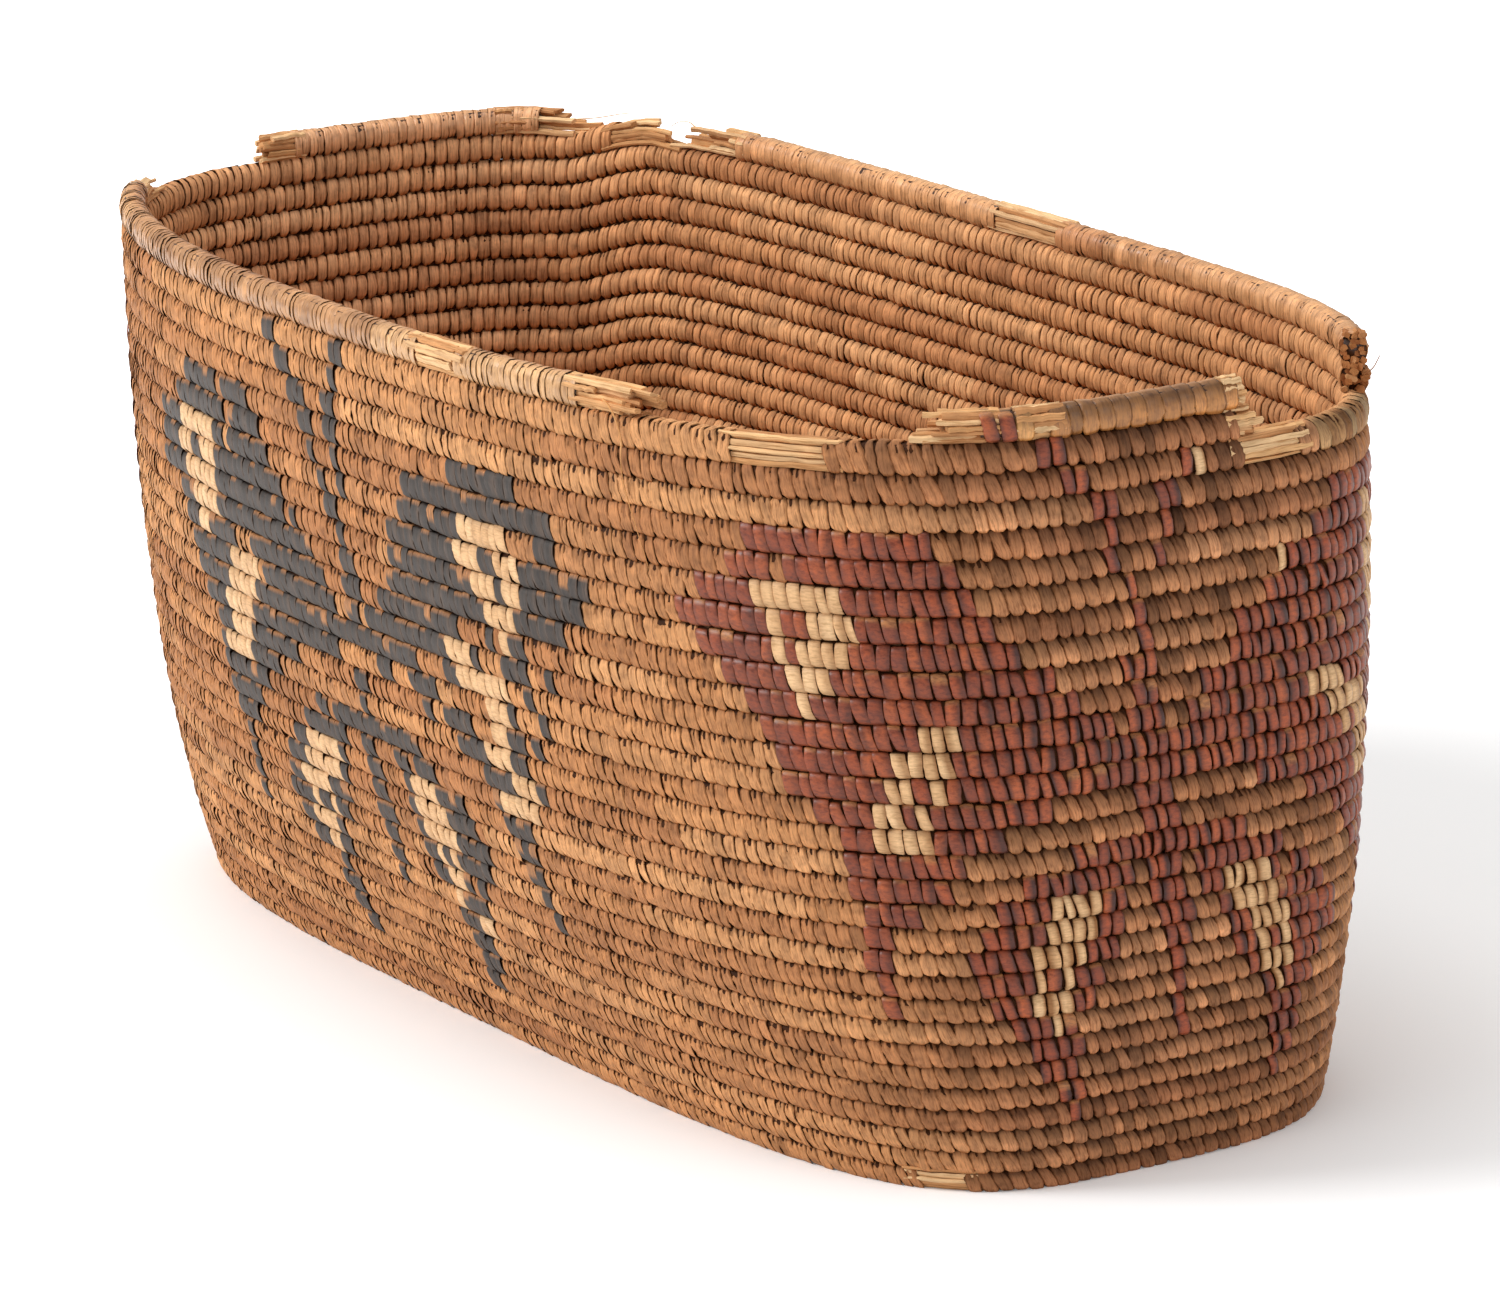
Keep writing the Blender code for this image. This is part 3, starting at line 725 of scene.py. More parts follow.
# Shades of the sewing: dirt on the crowns, painted shade in the lines between stitches and at the joints
# above and below, random shade, and where stitches face the end painted shade on their tops, painted
# light on their lower parts and random tone; last, painted shade on the lower inside
STRAND_SPREAD = 0.05
DIRT_LEAST = 0.05
DIRT_RANGE = 0.35
DIRT_NARROWING = 1.1
OUTER_GAP_SHADE = (0.06, 0.21)
INNER_GAP_SHADE = (0.1, 0.17)
DARKEST_GAP_SHADE = 0.05
UPPER_JOINT_SHADE = 0.8
LOWER_JOINT_SHADE = 0.6
SHADE_SPREAD = 0.07
PAINTED_TOP_SHADE = 0.6
PAINTED_SHADE_START = 0.25
PAINTED_LIGHT_LIMIT = -0.4
GRIME_SPREAD = 0.2
PAINTED_INNER_SHADE = 0.15
# The strips: colours, colour of the edges (partly painted shade on red and cream, worn brown on black),
# colour where worn dull, share that is worn far down, share with teeth
STRIPS = {
    "black": (BLACK_BARK, BLACK_EDGE, BLACK_DULL, WORN_BLACK_SHARE, BLACK_TOOTH_SHARE),
    "red": (RED_BARK, RED_EDGE_SHADE, RED_DULL, WORN_RED_SHARE, RED_TOOTH_SHARE),
    "cream": (CREAM_STRAW, CREAM_EDGE_SHADE, CREAM_DULL, 0.0, 0.0),
}


def pick(colours, random, count):
    """A mix of two of the colours for each of `count` items."""
    first = random.integers(0, len(colours), count)
    second = random.integers(0, len(colours), count)
    share = random.random((count, 1))
    return np.array(colours)[first] * share + np.array(colours)[second] * (1.0 - share)


def strand_colours(colours, random, count):
    """Colours by stitch: one sewing splint lasts for a few dozen stitches."""
    strand = np.cumsum(random.random(count) < 1.0 / STRAND_STITCHES)
    return pick(colours, random, strand[-1] + 1)[strand] * (1.0 + vary(random, STRAND_SPREAD, count, 1))


def above_floor(base, up):
    return np.maximum(up, -base.half_height) if base.on_floor else up


def lifted(base, section, lift, closed):
    """Metres out and up of a section's points, each moved by `lift` along the section's outward normal."""
    if closed:
        along = np.roll(section, -1, 0) - np.roll(section, 1, 0)
    else:
        along = np.gradient(section, axis=0)
    normals = np.stack([-along[:, 1], along[:, 0]], -1)
    normals /= np.linalg.norm(normals, axis=1)[:, None]
    out = section[:, :1] * base.half_width + normals[:, :1] * lift
    return out, section[:, 1:] * base.half_height + normals[:, 1:] * lift


def ribbon_grain(random, count, beside, rings, step):
    """Where the noise is read on a stitch or a strip: across it, along it, and at a depth of its own."""
    along = np.cumsum(np.full(rings, step))[:, None]
    return side_by_side(beside / MM, along, random.random((count, 1, 1)) * GRAIN_DEPTH)


def add_stitches(
    weave, base, section, centres, widths, covered, random, outer, inner_tone_and_light=1.0, painted_shade_and_tone=0.0, fork_share=0.0,
    exposed=False, relief=1.0, inner_relief=INNER_RELIEF
):
    """Wrapped stitches: closed ribbons round `base`, many of them split into a fork near the top."""
    count = len(centres)
    if not count:
        return
    rings = len(section)
    out_share, up_share, width_share, lean_share = np.array(section).T
    across, lifts = np.array(STITCH_ACROSS).T
    outside = out_share > OUTSIDE_FROM
    sunk = covered[:, None] & outside
    middle = (across == 0.0) & (lifts > 0.0)
    width = width_share * widths[:, None] * (1.0 + vary(random, WIDTH_SPREAD, count, rings))
    width *= np.where(sunk, COVERED_WIDTH, 1.0)
    lean = lean_share * (1.0 + vary(random, LEAN_SPREAD, count, 1))
    forked = (random.random(count) < fork_share) & ~covered
    opening = np.pad(FORK_OPENING, (0, rings - len(FORK_OPENING)))
    fork = opening * forked[:, None] * (FORK_LEAST + FORK_RANGE * random.random((count, 1)))
    fork = np.clip(fork, 0.0, 1.0)[:, :, None]
    width = width * (1.0 + FORK_WIDENING * fork[:, :, 0])
    inner_fork = INNER_FORK * (random.random((count, 1)) < INNER_FORK_SHARE) * (out_share < INSIDE_FROM)
    fork = np.maximum(fork, inner_fork[:, :, None])
    shoulder = np.abs(across) == STITCH_SHOULDER
    sideways = across * np.where(shoulder, mix(1.0, FORK_SIDE_SHARE / STITCH_SHOULDER, fork), 1.0)
    sideways = sideways + np.where(middle, fork * FORK_SHIFT * random.standard_normal((count, 1, 1)), 0.0)
    beside = sideways * width[:, :, None] / 2.0
    place = centres[:, None, None] + (lean * STITCH_PITCH)[:, :, None] + beside
    relief = np.broadcast_to(relief, count)[:, None, None]
    crown = STITCH_CROWN * (1.0 + vary(random, CROWN_SPREAD, count, 1, 1))
    crown = crown * np.where(outside[:, None], relief, inner_relief)
    tilt = STITCH_CROWN * (TILT + vary(random, TILT_SPREAD, count, 1, 1))
    lift = lifts * crown + across * tilt
    lift = lift - np.where(sunk, COVERED_DEPTH, 0.0)[:, :, None]
    lift = lift - np.where(middle, fork * FORK_DEPTH, 0.0)
    lift = lift + vary(random, STITCH_ROUGHNESS, count, rings, 1)
    out, up = lifted(base, np.stack([out_share, up_share], -1), lift, True)
    up = up + np.where(up_share[:, None] < LOWER_FROM, vary(random, STITCH_SAG, count, 1, 1), 0.0)
    points = base.points(place, out, above_floor(base, up))
    inner = strand_colours(INSIDE_TAN, random, count) * inner_tone_and_light
    side = np.clip(0.5 + 0.8 * out_share, 0.0, 1.0)[:, None, None]
    tint = outer[:, None, None, :] * side + inner[:, None, None, :] * (1.0 - side)
    dirt = np.clip(1.0 - DIRT_NARROWING * np.abs(across), 0.0, 1.0)[:, None]
    dirt = dirt * (DIRT_LEAST + DIRT_RANGE * random.random((count, 1, 1, 1))) * side
    tint = tint * (1.0 - dirt) + DIRT * dirt
    # Painted shade in the gaps between stitches, deeper where the relief is higher
    outer_gap_shade = OUTER_GAP_SHADE[0] + OUTER_GAP_SHADE[1] * relief
    inner_gap_shade = INNER_GAP_SHADE[0] + INNER_GAP_SHADE[1] * inner_relief
    line = np.where(outside[:, None], outer_gap_shade, inner_gap_shade) * (lifts < 0.0)
    edge = np.clip(1.0 - line[..., None] * GAP_WARMTH, DARKEST_GAP_SHADE, 1.0)
    # Painted shade in the fork's groove
    groove = 1.0 - GROOVE_SHADE * np.where(middle, fork, 0.0)[..., None]
    # Painted shade at the joints with the courses below and above; none at an exposed top
    joint = np.where(up_share < -SEAM_FROM, LOWER_JOINT_SHADE, 1.0)
    if not exposed:
        joint = np.where(up_share > SEAM_FROM, UPPER_JOINT_SHADE, joint)
    joint = joint[:, None, None] ** JOINT_WARMTH
    shade = 1.0 + vary(random, SHADE_SPREAD, count, rings, 1, 1)
    painted_shade_and_tone = np.broadcast_to(painted_shade_and_tone, count)[:, None, None, None]
    # On the outside of stitches facing the end: painted shade on the top, under the course above, and
    # painted light on the lower part
    high = np.clip(up_share + PAINTED_SHADE_START, PAINTED_LIGHT_LIMIT, 1.0)[:, None, None]
    # Painted shade on the lower half of the inside, as under light from above
    low = np.clip(-up_share, 0.0, 1.0)[:, None, None]
    shade = shade - PAINTED_TOP_SHADE * painted_shade_and_tone * high * side - PAINTED_INNER_SHADE * low * (1.0 - side)
    tint = tint * shade * (1.0 + GRIME_SPREAD * painted_shade_and_tone * side * random.standard_normal((count, 1, 1, 1)))
    # Painted shade: gaps between stitches, joints with other courses, fork grooves, and stitches under the
    # strips
    tint = tint * edge * joint * groove * np.where(sunk, COVERED_SHADE, 1.0)[:, :, None, None]
    weave.add(points, tint, ribbon_grain(random, count, beside, rings, STITCH_GRAIN), closed_rings=True)


def add_core(weave, base, low, high, exposed=False):
    """The bundle inside the stitches, painted dark as the shade between them. It closes the joints unless
    its top is exposed.
    """
    place = np.linspace(low, high, max(2, round((high - low) / STITCH_PITCH)))[:, None]
    out_share, up_share = np.array(CORE_SECTION).T
    if exposed:
        up_share = np.minimum(up_share, EXPOSED_CORE_TOP)
    points = base.points(place, out_share * base.half_width, above_floor(base, up_share * base.half_height))
    grains = side_by_side(np.arange(len(CORE_SECTION)) * CORE_GRAIN, place / MM, 0.0)
    weave.add(points[None], CORE_SHADE_BROWN, grains[None], rings_per_cell=CORE_RINGS_PER_CELL)


def add_cells(weave, base, centres, widths, strip, random, facing):
    """Folded strips that cover the outside of the coil, one bulged cell for each stitch."""
    count = len(centres)
    if not count:
        return
    colours, edge_colour, dull, worn_share, tooth_share = strip
    section = np.array(CELL_SECTION)
    up_share = section[:, 1]
    across, lifts = np.array(CELL_ACROSS).T
    rings = len(section)
    facing = facing[:, None, None]
    width = widths[:, None] * np.array(CELL_WIDTHS) * (1.0 + vary(random, CELL_WIDTH_SPREAD, count, rings))
    width = width * mix(NEAR_CELL_WIDTH, END_CELL_WIDTH, facing[:, :, 0])
    slant = mix(NEAR_CELL_SLANT, END_CELL_SLANT, facing[:, :, 0]) + vary(random, CELL_SLANT_SPREAD, count, 1)
    beside = across * width[:, :, None] / 2.0
    place = centres[:, None, None] + (slant * up_share * STITCH_PITCH)[:, :, None] + beside
    crown = CELL_CROWN * mix(NEAR_CELL_RELIEF, END_CELL_RELIEF, facing)
    lift = lifts * crown * (1.0 + vary(random, CELL_CROWN_SPREAD, count, 1, 1))
    lift = lift + across * crown * CELL_TILT * random.standard_normal((count, 1, 1))
    lift = lift + vary(random, CELL_ROUGHNESS, count, rings, 1)
    out, up = lifted(base, section, lift, False)
    shift = np.where(up_share > 0.0, 1.0, LOWER_FOLD_SHIFT)[:, None] * CELL_SHIFT_MM * MM
    up = up + shift * random.standard_normal((count, 1, 1))
    points = base.points(place, out, above_floor(base, up))
    colour = (0.5 * pick(colours, random, count) + 0.5 * np.mean(colours, 0))[:, None, None, :]
    dullness = DULL_SHARE * (1.0 - facing)[..., None]
    colour = colour * (1.0 - dullness) + dull * dullness
    lit_side = LIT_SIDE + vary(random, LIT_SIDE_SPREAD, count, 1, 1)
    # Edge colour: partly painted shade on red and cream strips, stronger on the end wall, lit side lighter
    edge = np.clip((across + lit_side) ** 2 * EDGE_STRENGTH, 0.0, 1.0) * mix(NEAR_EDGE_SHARE, 1.0, facing)
    edge = edge[..., None]
    # Painted shade at the folds and painted light on the bulge
    tint = (colour * (1.0 - edge) + edge_colour * edge) * np.array(CELL_PAINTED_SHADES)[:, None, None]
    far_down = random.random((count, 1)) < worn_share
    worn_from = np.where(far_down, WORN_RANGE * random.random((count, 1)) + WORN_LOWEST, TOOTH_HEIGHT)
    worn_top = (up_share > worn_from) & (random.random((count, 1)) < tooth_share)
    worn = WORN_STRENGTH * worn_top[:, :, None, None]
    tint = tint * (1.0 - worn) + WORN_TAN * worn
    weave.add(points, tint, ribbon_grain(random, count, beside, rings, CELL_GRAIN))


def evenly(count):
    """Places from -1 to 1."""
    return np.arange(count) / (count - 1) * 2.0 - 1.0


def splint_section(base, out, up, half, thick, turn):
    """Metres out and up of splints at places in the bundle, each turned about its own middle."""
    out_share, up_share = np.array(SPLINT_SECTION).T
    side, rise = out_share * half, up_share * thick
    out = (out * base.half_width)[:, None, None] + side * np.cos(turn) - rise * np.sin(turn)
    return out, (up * base.half_height)[:, None, None] + side * np.sin(turn) + rise * np.cos(turn)


def add_splints(
    weave, base, root, tip, random, shortest=1.0, slope=0.0, droop=0.0, height_share=1.0, shade=1.0
):
    """Bare splints of the bundle, from inside the stitches at `root` to ragged breaks near `tip`."""
    columns, rows = (grid.ravel() for grid in np.meshgrid(evenly(SPLINT_COLUMNS), evenly(SPLINT_ROWS)))
    count = len(rows)
    reach = np.sqrt(np.clip(1.0 - BUNDLE_NARROWING * np.abs(rows) ** 3, 0.0, 1.0))
    middle_out = columns * reach * BUNDLE_WIDTH + vary(random, SPLINT_OUT_SPREAD, count)
    middle_up = rows * BUNDLE_HEIGHT + vary(random, SPLINT_UP_SPREAD, count)
    middle_up = (middle_up + 1.0) * height_share - 1.0
    start = root - math.copysign(1.0, tip - root) * SPLINT_ROOT
    share = 1.0 - (1.0 - shortest) * random.random(count) - slope * (rows * 0.5 + 0.5) * random.random(count)
    end = mix(root, tip, np.clip(share, SPLINT_SHORTEST, 1.0))
    travel = np.linspace(0.0, 1.0, SPLINT_STEPS)
    place = start + (end - start)[:, None] * travel
    beyond = np.clip((place - root) / (tip - root), 0.0, 1.2)
    half = base.half_width * SPLINT_HALF_WIDTH * (1.0 + vary(random, SPLINT_WIDTH_SPREAD, count, 1, 1))
    thick = base.half_height * SPLINT_HALF_HEIGHT * height_share
    thick = thick * (1.0 + vary(random, SPLINT_HEIGHT_SPREAD, count, 1, 1))
    wobble = vary(random, SPLINT_WOBBLE, count, SPLINT_STEPS, 2)
    spread = vary(random, SPLINT_SPREAD, count, 1) * beyond
    turn = vary(random, SPLINT_TURN, count, 1, 1)
    out, up = splint_section(base, middle_out, middle_up, half, thick, turn)
    out = out + (wobble[:, :, 0] + spread)[:, :, None]
    up = above_floor(base, up + (wobble[:, :, 1] - droop * beyond ** 2)[:, :, None])
    slant = vary(random, SPLINT_SLANT, count, 1, 1) * np.array(SPLINT_SECTION)[:, 0]
    slant = slant * (travel == 1.0)[:, None]
    points = base.points(place[:, :, None] + slant, out, up)
    tint = pick(BARE_WOOD, random, count)[:, None, None, :]
    tint = tint * shade * mix(SPLINT_DARKEST, 1.0, random.random((count, SPLINT_STEPS, 1, 1)))
    sides = np.arange(len(SPLINT_SECTION)) * SPLINT_GRAIN
    grains = side_by_side(sides, (place / MM)[:, :, None], random.random((count, 1, 1)) * GRAIN_DEPTH)
    weave.add(points, tint, grains, smooth=False)


def add_shavings(weave, base, low, high, outs, ups, random):
    """Broad flat splints laid along the coil, each at its own place in the section."""
    count = len(outs)
    start = low + SHAVING_STAGGER * random.random(count)
    end = high - SHAVING_STAGGER * random.random(count)
    place = start[:, None] + (end - start)[:, None] * np.linspace(0.0, 1.0, SPLINT_STEPS)
    facing = np.arctan2(ups, outs)[:, None, None] - math.pi / 2.0
    out, up = splint_section(base, outs, ups, SHAVING_HALF_WIDTH, SHAVING_HALF_HEIGHT, facing)
    up = up + vary(random, SPLINT_WOBBLE, count, SPLINT_STEPS, 1)
    points = base.points(place[:, :, None], out, up)
    tint = pick(BARE_WOOD, random, count)[:, None, None, :]
    sides = np.array(SPLINT_SECTION)[:, 0] * SHAVING_HALF_WIDTH / MM
    grains = side_by_side(sides, (place / MM)[:, :, None], random.random((count, 1, 1)) * GRAIN_DEPTH)
    weave.add(points, tint, grains, smooth=False)


def add_fibre(weave, path, radius, colour):
    """One loose fibre along points in metres, thinner towards its end."""
    path = np.array(path)
    steps = np.linspace(0.0, len(path) - 1.0, 4 * len(path))
    centre = np.stack([np.interp(steps, np.arange(len(path)), path[:, axis]) for axis in range(3)], -1)
    for _ in range(FIBRE_SMOOTHINGS):
        centre[1:-1] = 0.25 * centre[:-2] + 0.5 * centre[1:-1] + 0.25 * centre[2:]
    along = np.gradient(centre, axis=0)
    along /= np.linalg.norm(along, axis=1)[:, None]
    side = np.cross(along, FIBRE_SIDE_HINT)
    side /= np.linalg.norm(side, axis=1)[:, None]
    over = np.cross(along, side)
    angle = np.arange(FIBRE_SIDES) * math.pi / (FIBRE_SIDES / 2.0)
    size = radius * np.linspace(1.0, FIBRE_TIP, len(centre))[:, None, None]
    wide = np.cos(angle)[:, None] * side[:, None, :] * size
    flat = np.sin(angle)[:, None] * over[:, None, :] * size * FIBRE_FLATNESS
    grains = side_by_side(angle, np.arange(len(centre))[:, None], 0.0)
    weave.add((centre[:, None, :] + (wide + flat))[None], colour, grains[None])


coil_material = fibre_material(
    "sewn_coil", (1.8, 0.2, 1.0), (0.60, 0.52, 0.46), (1.22, 1.18, 1.1), 0.65, 0.55, 0.12, OLD_GREY, 0.5
)
rim_material = fibre_material(
    "sewn_rim", (1.8, 0.2, 1.0), (0.66, 0.58, 0.52), (1.2, 1.16, 1.08), 0.38, 0.4, 0.45, OLD_BROWN, 0.6
)
strip_materials = {
    "black": fibre_material(
        "black_bark", (2.4, 0.3, 1.0), (0.55, 0.55, 0.55), (1.7, 1.65, 1.6), 0.55, 0.7, 0.3
    ),
    "red": fibre_material("red_bark", (0.5, 1.5, 1.0), (0.6, 0.52, 0.55), (1.35, 1.3, 1.15), 0.42, 0.5, 0.4),
    "cream": fibre_material(
        "cream_straw", (0.3, 2.4, 1.0), (0.76, 0.7, 0.62), (1.14, 1.14, 1.12), 0.5, 0.6, 0.25,
        STRAW_STAIN, 0.4
    ),
}
bare_material = fibre_material(
    "bare_splints", (1.6, 0.09, 1.0), (0.62, 0.50, 0.38), (1.1, 1.1, 1.1), 0.65, 0.9, 0.2
)

bare_weave = Weave()
strip_weaves = {name: Weave() for name in STRIPS}

RIM_COURSE = COURSE_COUNT
EXPOSED_FROM = RIM_COURSE - 2
# The courses below the broken ones, three to a node
WHOLE_COURSES = 29
NODE_HEIGHT = 3
NODE_COURSES = {
    f"coil_courses_{low:02d}_to_{min(low + NODE_HEIGHT - 1, WHOLE_COURSES):02d}":
    range(low, min(low + NODE_HEIGHT, WHOLE_COURSES + 1))
    for low in range(1, WHOLE_COURSES + 1, NODE_HEIGHT)
}
# Lengths of course 30 and of the rim that are left, by their turns
BREAKS = {
    "coil_course_30_back_wall": (30, 0.0, 82.0),
    "coil_course_30_front": (30, 116.0, 360.0),
    "rim_coil_back_wall": (31, 0.0, 82.0),
    "rim_coil_end_wall": (31, 116.0, 136.0),
    "rim_coil_near_wall": (31, 182.0, 276.0),
    "rim_coil_far_end": (31, 295.0, 329.0),
}
# Bare patches of a course, in mm from the near corner
BARE_PATCHES = {
    1: [(26, 41)],
    29: [(172, 194)],
    30: [(1, 34), (-740, -700)],
    31: [(-500, -460), (-566, -548), (-151, -127), (97.5, 103), (462, 502), (676, 720)],
}
WORN_PATCHES = {29: [(203, 250)]}
WORN_SHADE = 0.62
RED_RIM_CELLS = (82.0, 93.5)
END_GRAIN = np.array([0.68, 0.50, 0.38])
# Broken ends: course, root and tip in mm, shortest splint, slope of the break, droop in mm, share of height,
# shade
BROKEN_ENDS = [
    (31, 83, 60, 0.55, 0.5, 0.0, 1.0, 1.0),
    (31, 170.5, 174, 0.4, 0.0, 0.0, 1.0, 1.0),
    (30, 170.5, 179, 0.4, 0.3, 0.0, 1.0, 1.0),
    (31, -64, -28, 0.5, 0.45, 1.0, 1.0, 1.0),
    (31, -655, -694, 0.3, 0.6, 4.0, 1.0, 1.0),
    (31, 676, 716, 0.5, 0.9, 1.0, 0.95, 1.0),
    (30, -700, -740, 0.5, 0.8, 2.0, 0.95, 1.0),
    (31, 247.1, 245.6, 0.2, 0.0, 0.0, 1.0, END_GRAIN),
    (30, 247.1, 244.0, 0.2, 0.0, 0.0, 1.0, END_GRAIN),
    (31, -566, -549, 0.5, 0.3, 0.0, 1.0, 1.0),
    (31, -460, -496, 0.4, 0.6, 1.5, 0.7, 1.0),
]


def cut_out(low, high, patches):
    """The stretches of low..high that the patches leave."""
    left = [(low, high)]
    for start, end in patches:
        cut = []
        for a, b in left:
            if end <= a or start >= b:
                cut.append((a, b))
                continue
            if start > a:
                cut.append((a, start))
            if end < b:
                cut.append((end, b))
        left = cut
    return left


def course_figures(course, centres):
    """Figures of a course: those of the near and end walls, and the same mirrored to the hidden walls."""
    row = COURSE_COUNT - course.number
    if row == 0:
        none = np.zeros(len(centres), dtype=bool)
        return none, none, none
    near_middle = course.turn_place(NEAR_MIDDLE_TURN)
    end_middle = course.turn_place(END_MIDDLE_TURN)
    shown = np.where(centres < 2.0 * near_middle, 2.0 * near_middle - centres, centres)
    hidden = centres > 2.0 * end_middle + HIDDEN_START * STITCH_PITCH
    shown = np.where(hidden, 2.0 * end_middle - centres, shown)
    order = np.argsort(shown)
    stitches = shown[order] / STITCH_PITCH
    found = []
    for chosen in figure_cells(row, stitches):
        back = np.zeros(len(centres), dtype=bool)
        back[order] = chosen
        found.append(back)
    return found


def dress_course(weave, course, low, high):
    """Stitches, folded strips and bare patches of one length of coil."""
    number = course.number
    random = np.random.default_rng(1000 + number * 7 + round(abs(low) * 100))
    rim = number == RIM_COURSE
    near_rim = rim and high < 0.0
    pitch = STITCH_PITCH
    if rim and abs(low) < END_RIM_REACH and abs(high) < END_RIM_REACH:
        pitch = END_RIM_STITCH_PITCH
    elif near_rim:
        pitch = RIM_STITCH_PITCH
    section = RIM_SECTION if rim else PLAIN_SECTION
    patches = [(a * MM, b * MM) for a, b in BARE_PATCHES.get(number, [])]
    for start, end in patches:
        if start > low + MM and end < high - MM:
            add_splints(bare_weave, course, start, end + SPLINT_ROOT, random)
    for start, end in cut_out(low, high, patches):
        centres, widths = place_stitches(start, end, random, pitch)
        black, red, cream = course_figures(course, centres)
        if rim:
            red = (centres > RED_RIM_CELLS[0] * MM) & (centres < RED_RIM_CELLS[1] * MM)
        covered = cream | black | red
        add_core(weave, course, start, end, number >= EXPOSED_FROM)
        facing = course.facing_end(centres) ** 2
        fork_share = mix(FORK_SHARE, END_FORK_SHARE, facing)
        relief = mix(NEAR_RELIEF, END_RELIEF, facing)
        colours = strand_colours(RIM_TAN if rim else PLAIN_TAN, random, len(centres))
        if rim:
            colours *= course.age(centres, RIM_AGE)
            fork_share = np.zeros(len(centres))
            relief = np.full(len(centres), NEAR_RIM_RELIEF if near_rim else 1.0)
        else:
            # Aged end wall, with a bluer cast as painted sheen
            colours *= course.age(centres, END_WALL_AGE_AND_SHEEN)
        for worn_low, worn_high in WORN_PATCHES.get(number, []):
            worn = (centres > worn_low * MM) & (centres < worn_high * MM)
            colours[worn] = WORN_SHADE * pick(BARE_WOOD, random, worn.sum())
            relief[worn] = NEAR_RELIEF
        add_stitches(
            weave, course, section, centres, widths * (RIM_STITCH_WIDTH if rim else 1.0), covered, random,
            colours, course.inner_tone_and_light(centres), facing, fork_share, number >= EXPOSED_FROM, relief,
            RIM_INNER_RELIEF if rim else INNER_RELIEF
        )
        for name, cells in (("black", black), ("red", red), ("cream", cream)):
            add_cells(
                strip_weaves[name], course, centres[cells], widths[cells], STRIPS[name], random,
                facing[cells]
            )


def finish_piece(weave, name, material, nodes):
    piece = weave.finish(name, material)
    if nodes:
        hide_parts(*nodes)
    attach(piece, "root")


coil_tip = Tip()
for node, numbers in NODE_COURSES.items():
    weave = Weave()
    if 1 in numbers:
        dress_course(weave, coil_tip, coil_tip.turn_place(FULL_TURN), coil_tip.turn_place(TIP_TURN))
    for number in numbers:
        course = Course(number)
        dress_course(weave, course, course.turn_place(FULL_TURN), course.turn_place(0.0))
    finish_piece(weave, f"sewn_{node}", coil_material, [node])
for node, (number, start, end) in BREAKS.items():
    weave = Weave()
    course = Course(number)
    dress_course(weave, course, course.turn_place(end), course.turn_place(start))
    material = rim_material if number == RIM_COURSE else coil_material
    finish_piece(weave, f"sewn_{node}", material, [node])

random = np.random.default_rng(77)
for number, root, tip, shortest, slope, droop, height_share, shade in BROKEN_ENDS:
    add_splints(
        bare_weave, Course(number), root * MM, tip * MM, random, shortest, slope, droop * MM, height_share,
        shade
    )
# The broad flat splints of the patch in the near rim: its ends in mm, and their places in the section
SHAVING_PATCH = (-151, -127)
SHAVING_PLACES = np.array([(1.0, -0.35), (0.95, 0.3), (0.55, 0.85)])
add_shavings(
    bare_weave, Course(RIM_COURSE), SHAVING_PATCH[0] * MM, SHAVING_PATCH[1] * MM, *SHAVING_PLACES.T, random
)

# Loose fibres: radius in mm, colour, and their points by course, mm along it, mm out and mm up
FIBRES = [
    (0.45, (228, 172, 112), [
        (31, -50, 4.5, 0), (31, -44, 6.0, -3), (30, -41, 5.6, -2), (30, -42, 5.4, -6),
        (29, -42, 5.6, -5), (28, -39, 5.8, -5), (27, -36, 5.6, -5), (26, -33, 5.3, -6),
    ]),
    (0.42, (168, 112, 72), [(30, 246, 3.5, 0), (30, 243, 4.5, 2), (30, 241, 6.5, 4), (30, 240, 8.5, 8)]),
    (0.4, (220, 180, 130), [(31, 706, 0, 3), (31, 711, 1, 4.5), (31, 716, 0, 4), (31, 722, 1, 1)]),
    (0.5, (226, 186, 132), [(31, -676, 1, 0), (31, -690, 1, -1.5), (31, -703, 0, -2), (31, -712, 1, -3)]),
]
for radius, colour, path in FIBRES:
    points = [Course(point[0]).points(*(np.array(value * MM) for value in point[1:])) for point in path]
    add_fibre(bare_weave, points, radius * MM, linear(*colour))
finish_piece(bare_weave, "bare_splints", bare_material, [])

for name, slot in (("black", "black_bark"), ("red", "red_bark"), ("cream", "cream_straw")):
    strips = [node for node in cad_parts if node.startswith(f"strip_{name}_")]
    finish_piece(strip_weaves[name], f"folded_strips_{name}", strip_materials[name], strips)

BASE_INSET = COIL_WIDTH - SLAT_OVERLAP
BASE_LENGTH = BASE_HALF_LENGTH - BASE_INSET


def base_side(far):
    """Half width and squareness of the base's plan on its far or near side."""
    if far:
        return BASE_FAR_HALF_WIDTH - BASE_INSET, BASE_FAR_SQUARENESS
    return BASE_NEAR_HALF_WIDTH - BASE_INSET, BASE_NEAR_SQUARENESS


def base_reach(distance, half_span, half_reach, squareness):
    """How far the base reaches across an axis of its plan, at a distance along that axis."""
    share = np.clip(np.abs(distance) / half_span, 0.0, 1.0)
    return half_reach * (1.0 - share ** squareness) ** (1.0 / squareness)


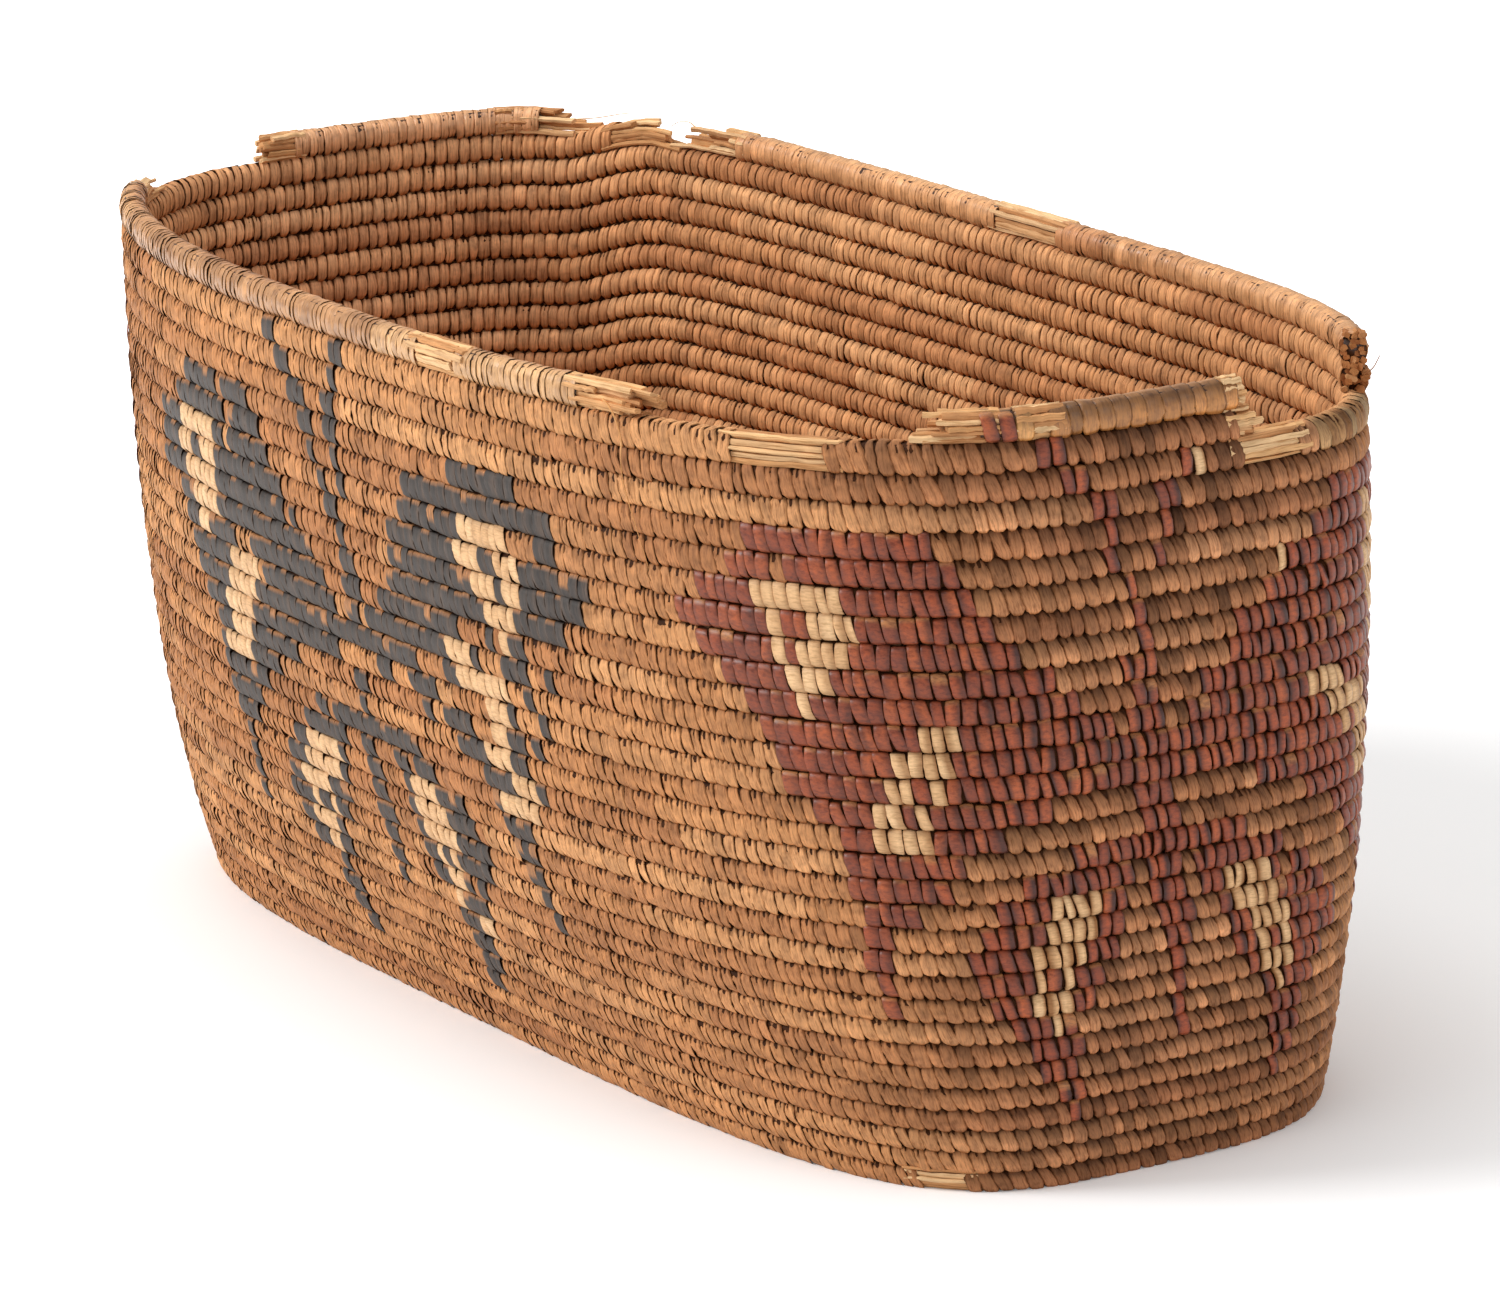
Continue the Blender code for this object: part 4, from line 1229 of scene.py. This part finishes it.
class Slat:
    """One slat of the base, along X, as wide as the first course leaves it at each place."""

    on_floor = True

    def __init__(self, number):
        near, far = -base_side(False)[0], base_side(True)[0]
        pitch = (far - near) / SLAT_COUNT
        self.low, self.high = near + number * pitch, near + (number + 1) * pitch
        self.half_width = pitch / 2.0 - SLAT_GAP
        self.half_height = line_height(1) / 2.0 - STITCH_CROWN
        nearest = min(max(0.0, self.low), self.high)
        half_width, squareness = base_side(nearest > 0.0)
        self.reach = float(base_reach(nearest, half_width, BASE_LENGTH, squareness))

    def points(self, place, out, up):
        near, far = (base_reach(place, BASE_LENGTH, *base_side(side)) for side in (False, True))
        low, high = np.maximum(self.low, -near), np.minimum(self.high, far)
        middle, half = (low + high) / 2.0, np.maximum((high - low) / 2.0 - SLAT_GAP, 0.0)
        across = middle + out / self.half_width * half
        return side_by_side(place, across, up + self.half_height + STITCH_CROWN)


base_weave = Weave()
random = np.random.default_rng(55)
for number in range(SLAT_COUNT):
    slat = Slat(number)
    centres, widths = place_stitches(-slat.reach, slat.reach, random)
    add_core(base_weave, slat, -slat.reach, slat.reach, True)
    bare = np.zeros(len(centres), dtype=bool)
    colours = strand_colours(INSIDE_TAN, random, len(centres))
    add_stitches(base_weave, slat, SLAT_SECTION, centres, widths, bare, random, colours)
finish_piece(
    base_weave, "sewn_base_slats", coil_material,
    [f"base_slat_{number + 1:02d}" for number in range(SLAT_COUNT)]
)

# Camera at the photograph's angle
CAMERA_TARGET = Vector((0.0378, 0.0027, 0.1205))
CAMERA_DISTANCE = 2.56
CAMERA_AZIMUTH = math.radians(60.66)
CAMERA_ELEVATION = math.radians(13.81)
CAMERA_ROLL = math.radians(-2.35)
CAMERA_CLIP_END = 50.0
PHOTO_WIDTH = 1500
FOCAL_PIXELS = 7690.0
SENSOR_WIDTH_MM = 36.0
# White paper under the basket, even white light from all round, and three lamps: place, size and power
FLOOR_HALF = 8.0
FLOOR_FADE_START = 0.35
FLOOR_FADE_END = 1.4
FLOOR_GLOW_NEAR = 0.12
FLOOR_WHITE = (0.93, 0.93, 0.93, 1.0)
FLOOR_ROUGHNESS = 0.9
FLOOR_SHINE = 0.1
WORLD_STRENGTH = 0.5
LIGHT_TARGET = Vector((0.0, 0.0, 0.1))
LIGHTS = {
    "key": ((-1.1, -2.3, 2.0), 1.3, 66.0),
    "fill": ((2.6, 0.6, 1.2), 1.6, 8.5),
    "top": ((0.1, -0.2, 2.6), 1.6, 24.0),
}


def add_camera():
    data = bpy.data.cameras.new("camera")
    data.sensor_fit = "HORIZONTAL"
    data.sensor_width = SENSOR_WIDTH_MM
    data.lens = FOCAL_PIXELS / PHOTO_WIDTH * SENSOR_WIDTH_MM
    data.clip_end = CAMERA_CLIP_END
    camera = add_object("camera", data)
    back = Vector((
        math.sin(CAMERA_AZIMUTH) * math.cos(CAMERA_ELEVATION),
        -math.cos(CAMERA_AZIMUTH) * math.cos(CAMERA_ELEVATION),
        math.sin(CAMERA_ELEVATION),
    ))
    right = (-back).cross(Vector((0.0, 0.0, 1.0))).normalized()
    up = right.cross(-back)
    side = right * math.cos(CAMERA_ROLL) + up * math.sin(CAMERA_ROLL)
    top = up * math.cos(CAMERA_ROLL) - right * math.sin(CAMERA_ROLL)
    rotation = Matrix((side, top, back)).transposed()
    camera.matrix_world = Matrix.Translation(CAMERA_TARGET + back * CAMERA_DISTANCE) @ rotation.to_4x4()
    bpy.context.scene.camera = camera


def add_area_light(name, place, size, power):
    data = bpy.data.lights.new(name, "AREA")
    data.shape = "DISK"
    data.size = size
    data.energy = power
    light = add_object(name, data)
    light.location = place
    light.rotation_euler = (LIGHT_TARGET - Vector(place)).to_track_quat("-Z", "Y").to_euler()


def add_math(tree, operation, first, second):
    return add_node(tree, "ShaderNodeMath", {0: first, 1: second}, operation=operation).outputs["Value"]


def floor_material():
    """White paper: it keeps the shadow, and fades to plain white away from the basket."""
    material, tree, shader = nodes_of("floor_paper")
    shader.inputs["Base Color"].default_value = FLOOR_WHITE
    shader.inputs["Roughness"].default_value = FLOOR_ROUGHNESS
    shader.inputs["Specular IOR Level"].default_value = FLOOR_SHINE
    place = add_node(tree, "ShaderNodeTexCoord", {}).outputs["Object"]
    distance = add_node(tree, "ShaderNodeVectorMath", {0: place}, operation="LENGTH").outputs["Value"]
    glow = add_range(tree, distance, FLOOR_FADE_START, FLOOR_FADE_END, FLOOR_GLOW_NEAR, 1.0)
    rays = add_node(tree, "ShaderNodeLightPath", {}).outputs
    seen = rays["Is Camera Ray"]
    for ray in ("Is Glossy Ray", "Is Transmission Ray"):
        seen = add_math(tree, "MAXIMUM", seen, rays[ray])
    shader.inputs["Emission Color"].default_value = WHITE
    tree.links.new(add_math(tree, "MULTIPLY", seen, glow), shader.inputs["Emission Strength"])
    return material


def add_stage():
    half = FLOOR_HALF
    mesh = bpy.data.meshes.new("floor")
    corners = [(-half, -half, 0.0), (half, -half, 0.0), (half, half, 0.0), (-half, half, 0.0)]
    mesh.from_pydata(corners, [], [(0, 1, 2, 3)])
    floor = add_object("floor", mesh)
    mesh.materials.append(floor_material())
    world = bpy.data.worlds.new("studio")
    world.use_nodes = True
    background = world.node_tree.nodes["Background"]
    background.inputs["Color"].default_value = WHITE
    background.inputs["Strength"].default_value = WORLD_STRENGTH
    bpy.context.scene.world = world
    for name, (place, size, power) in LIGHTS.items():
        add_area_light(name, place, size, power)


add_camera()
add_stage()
bpy.context.scene.view_settings.view_transform = "Standard"
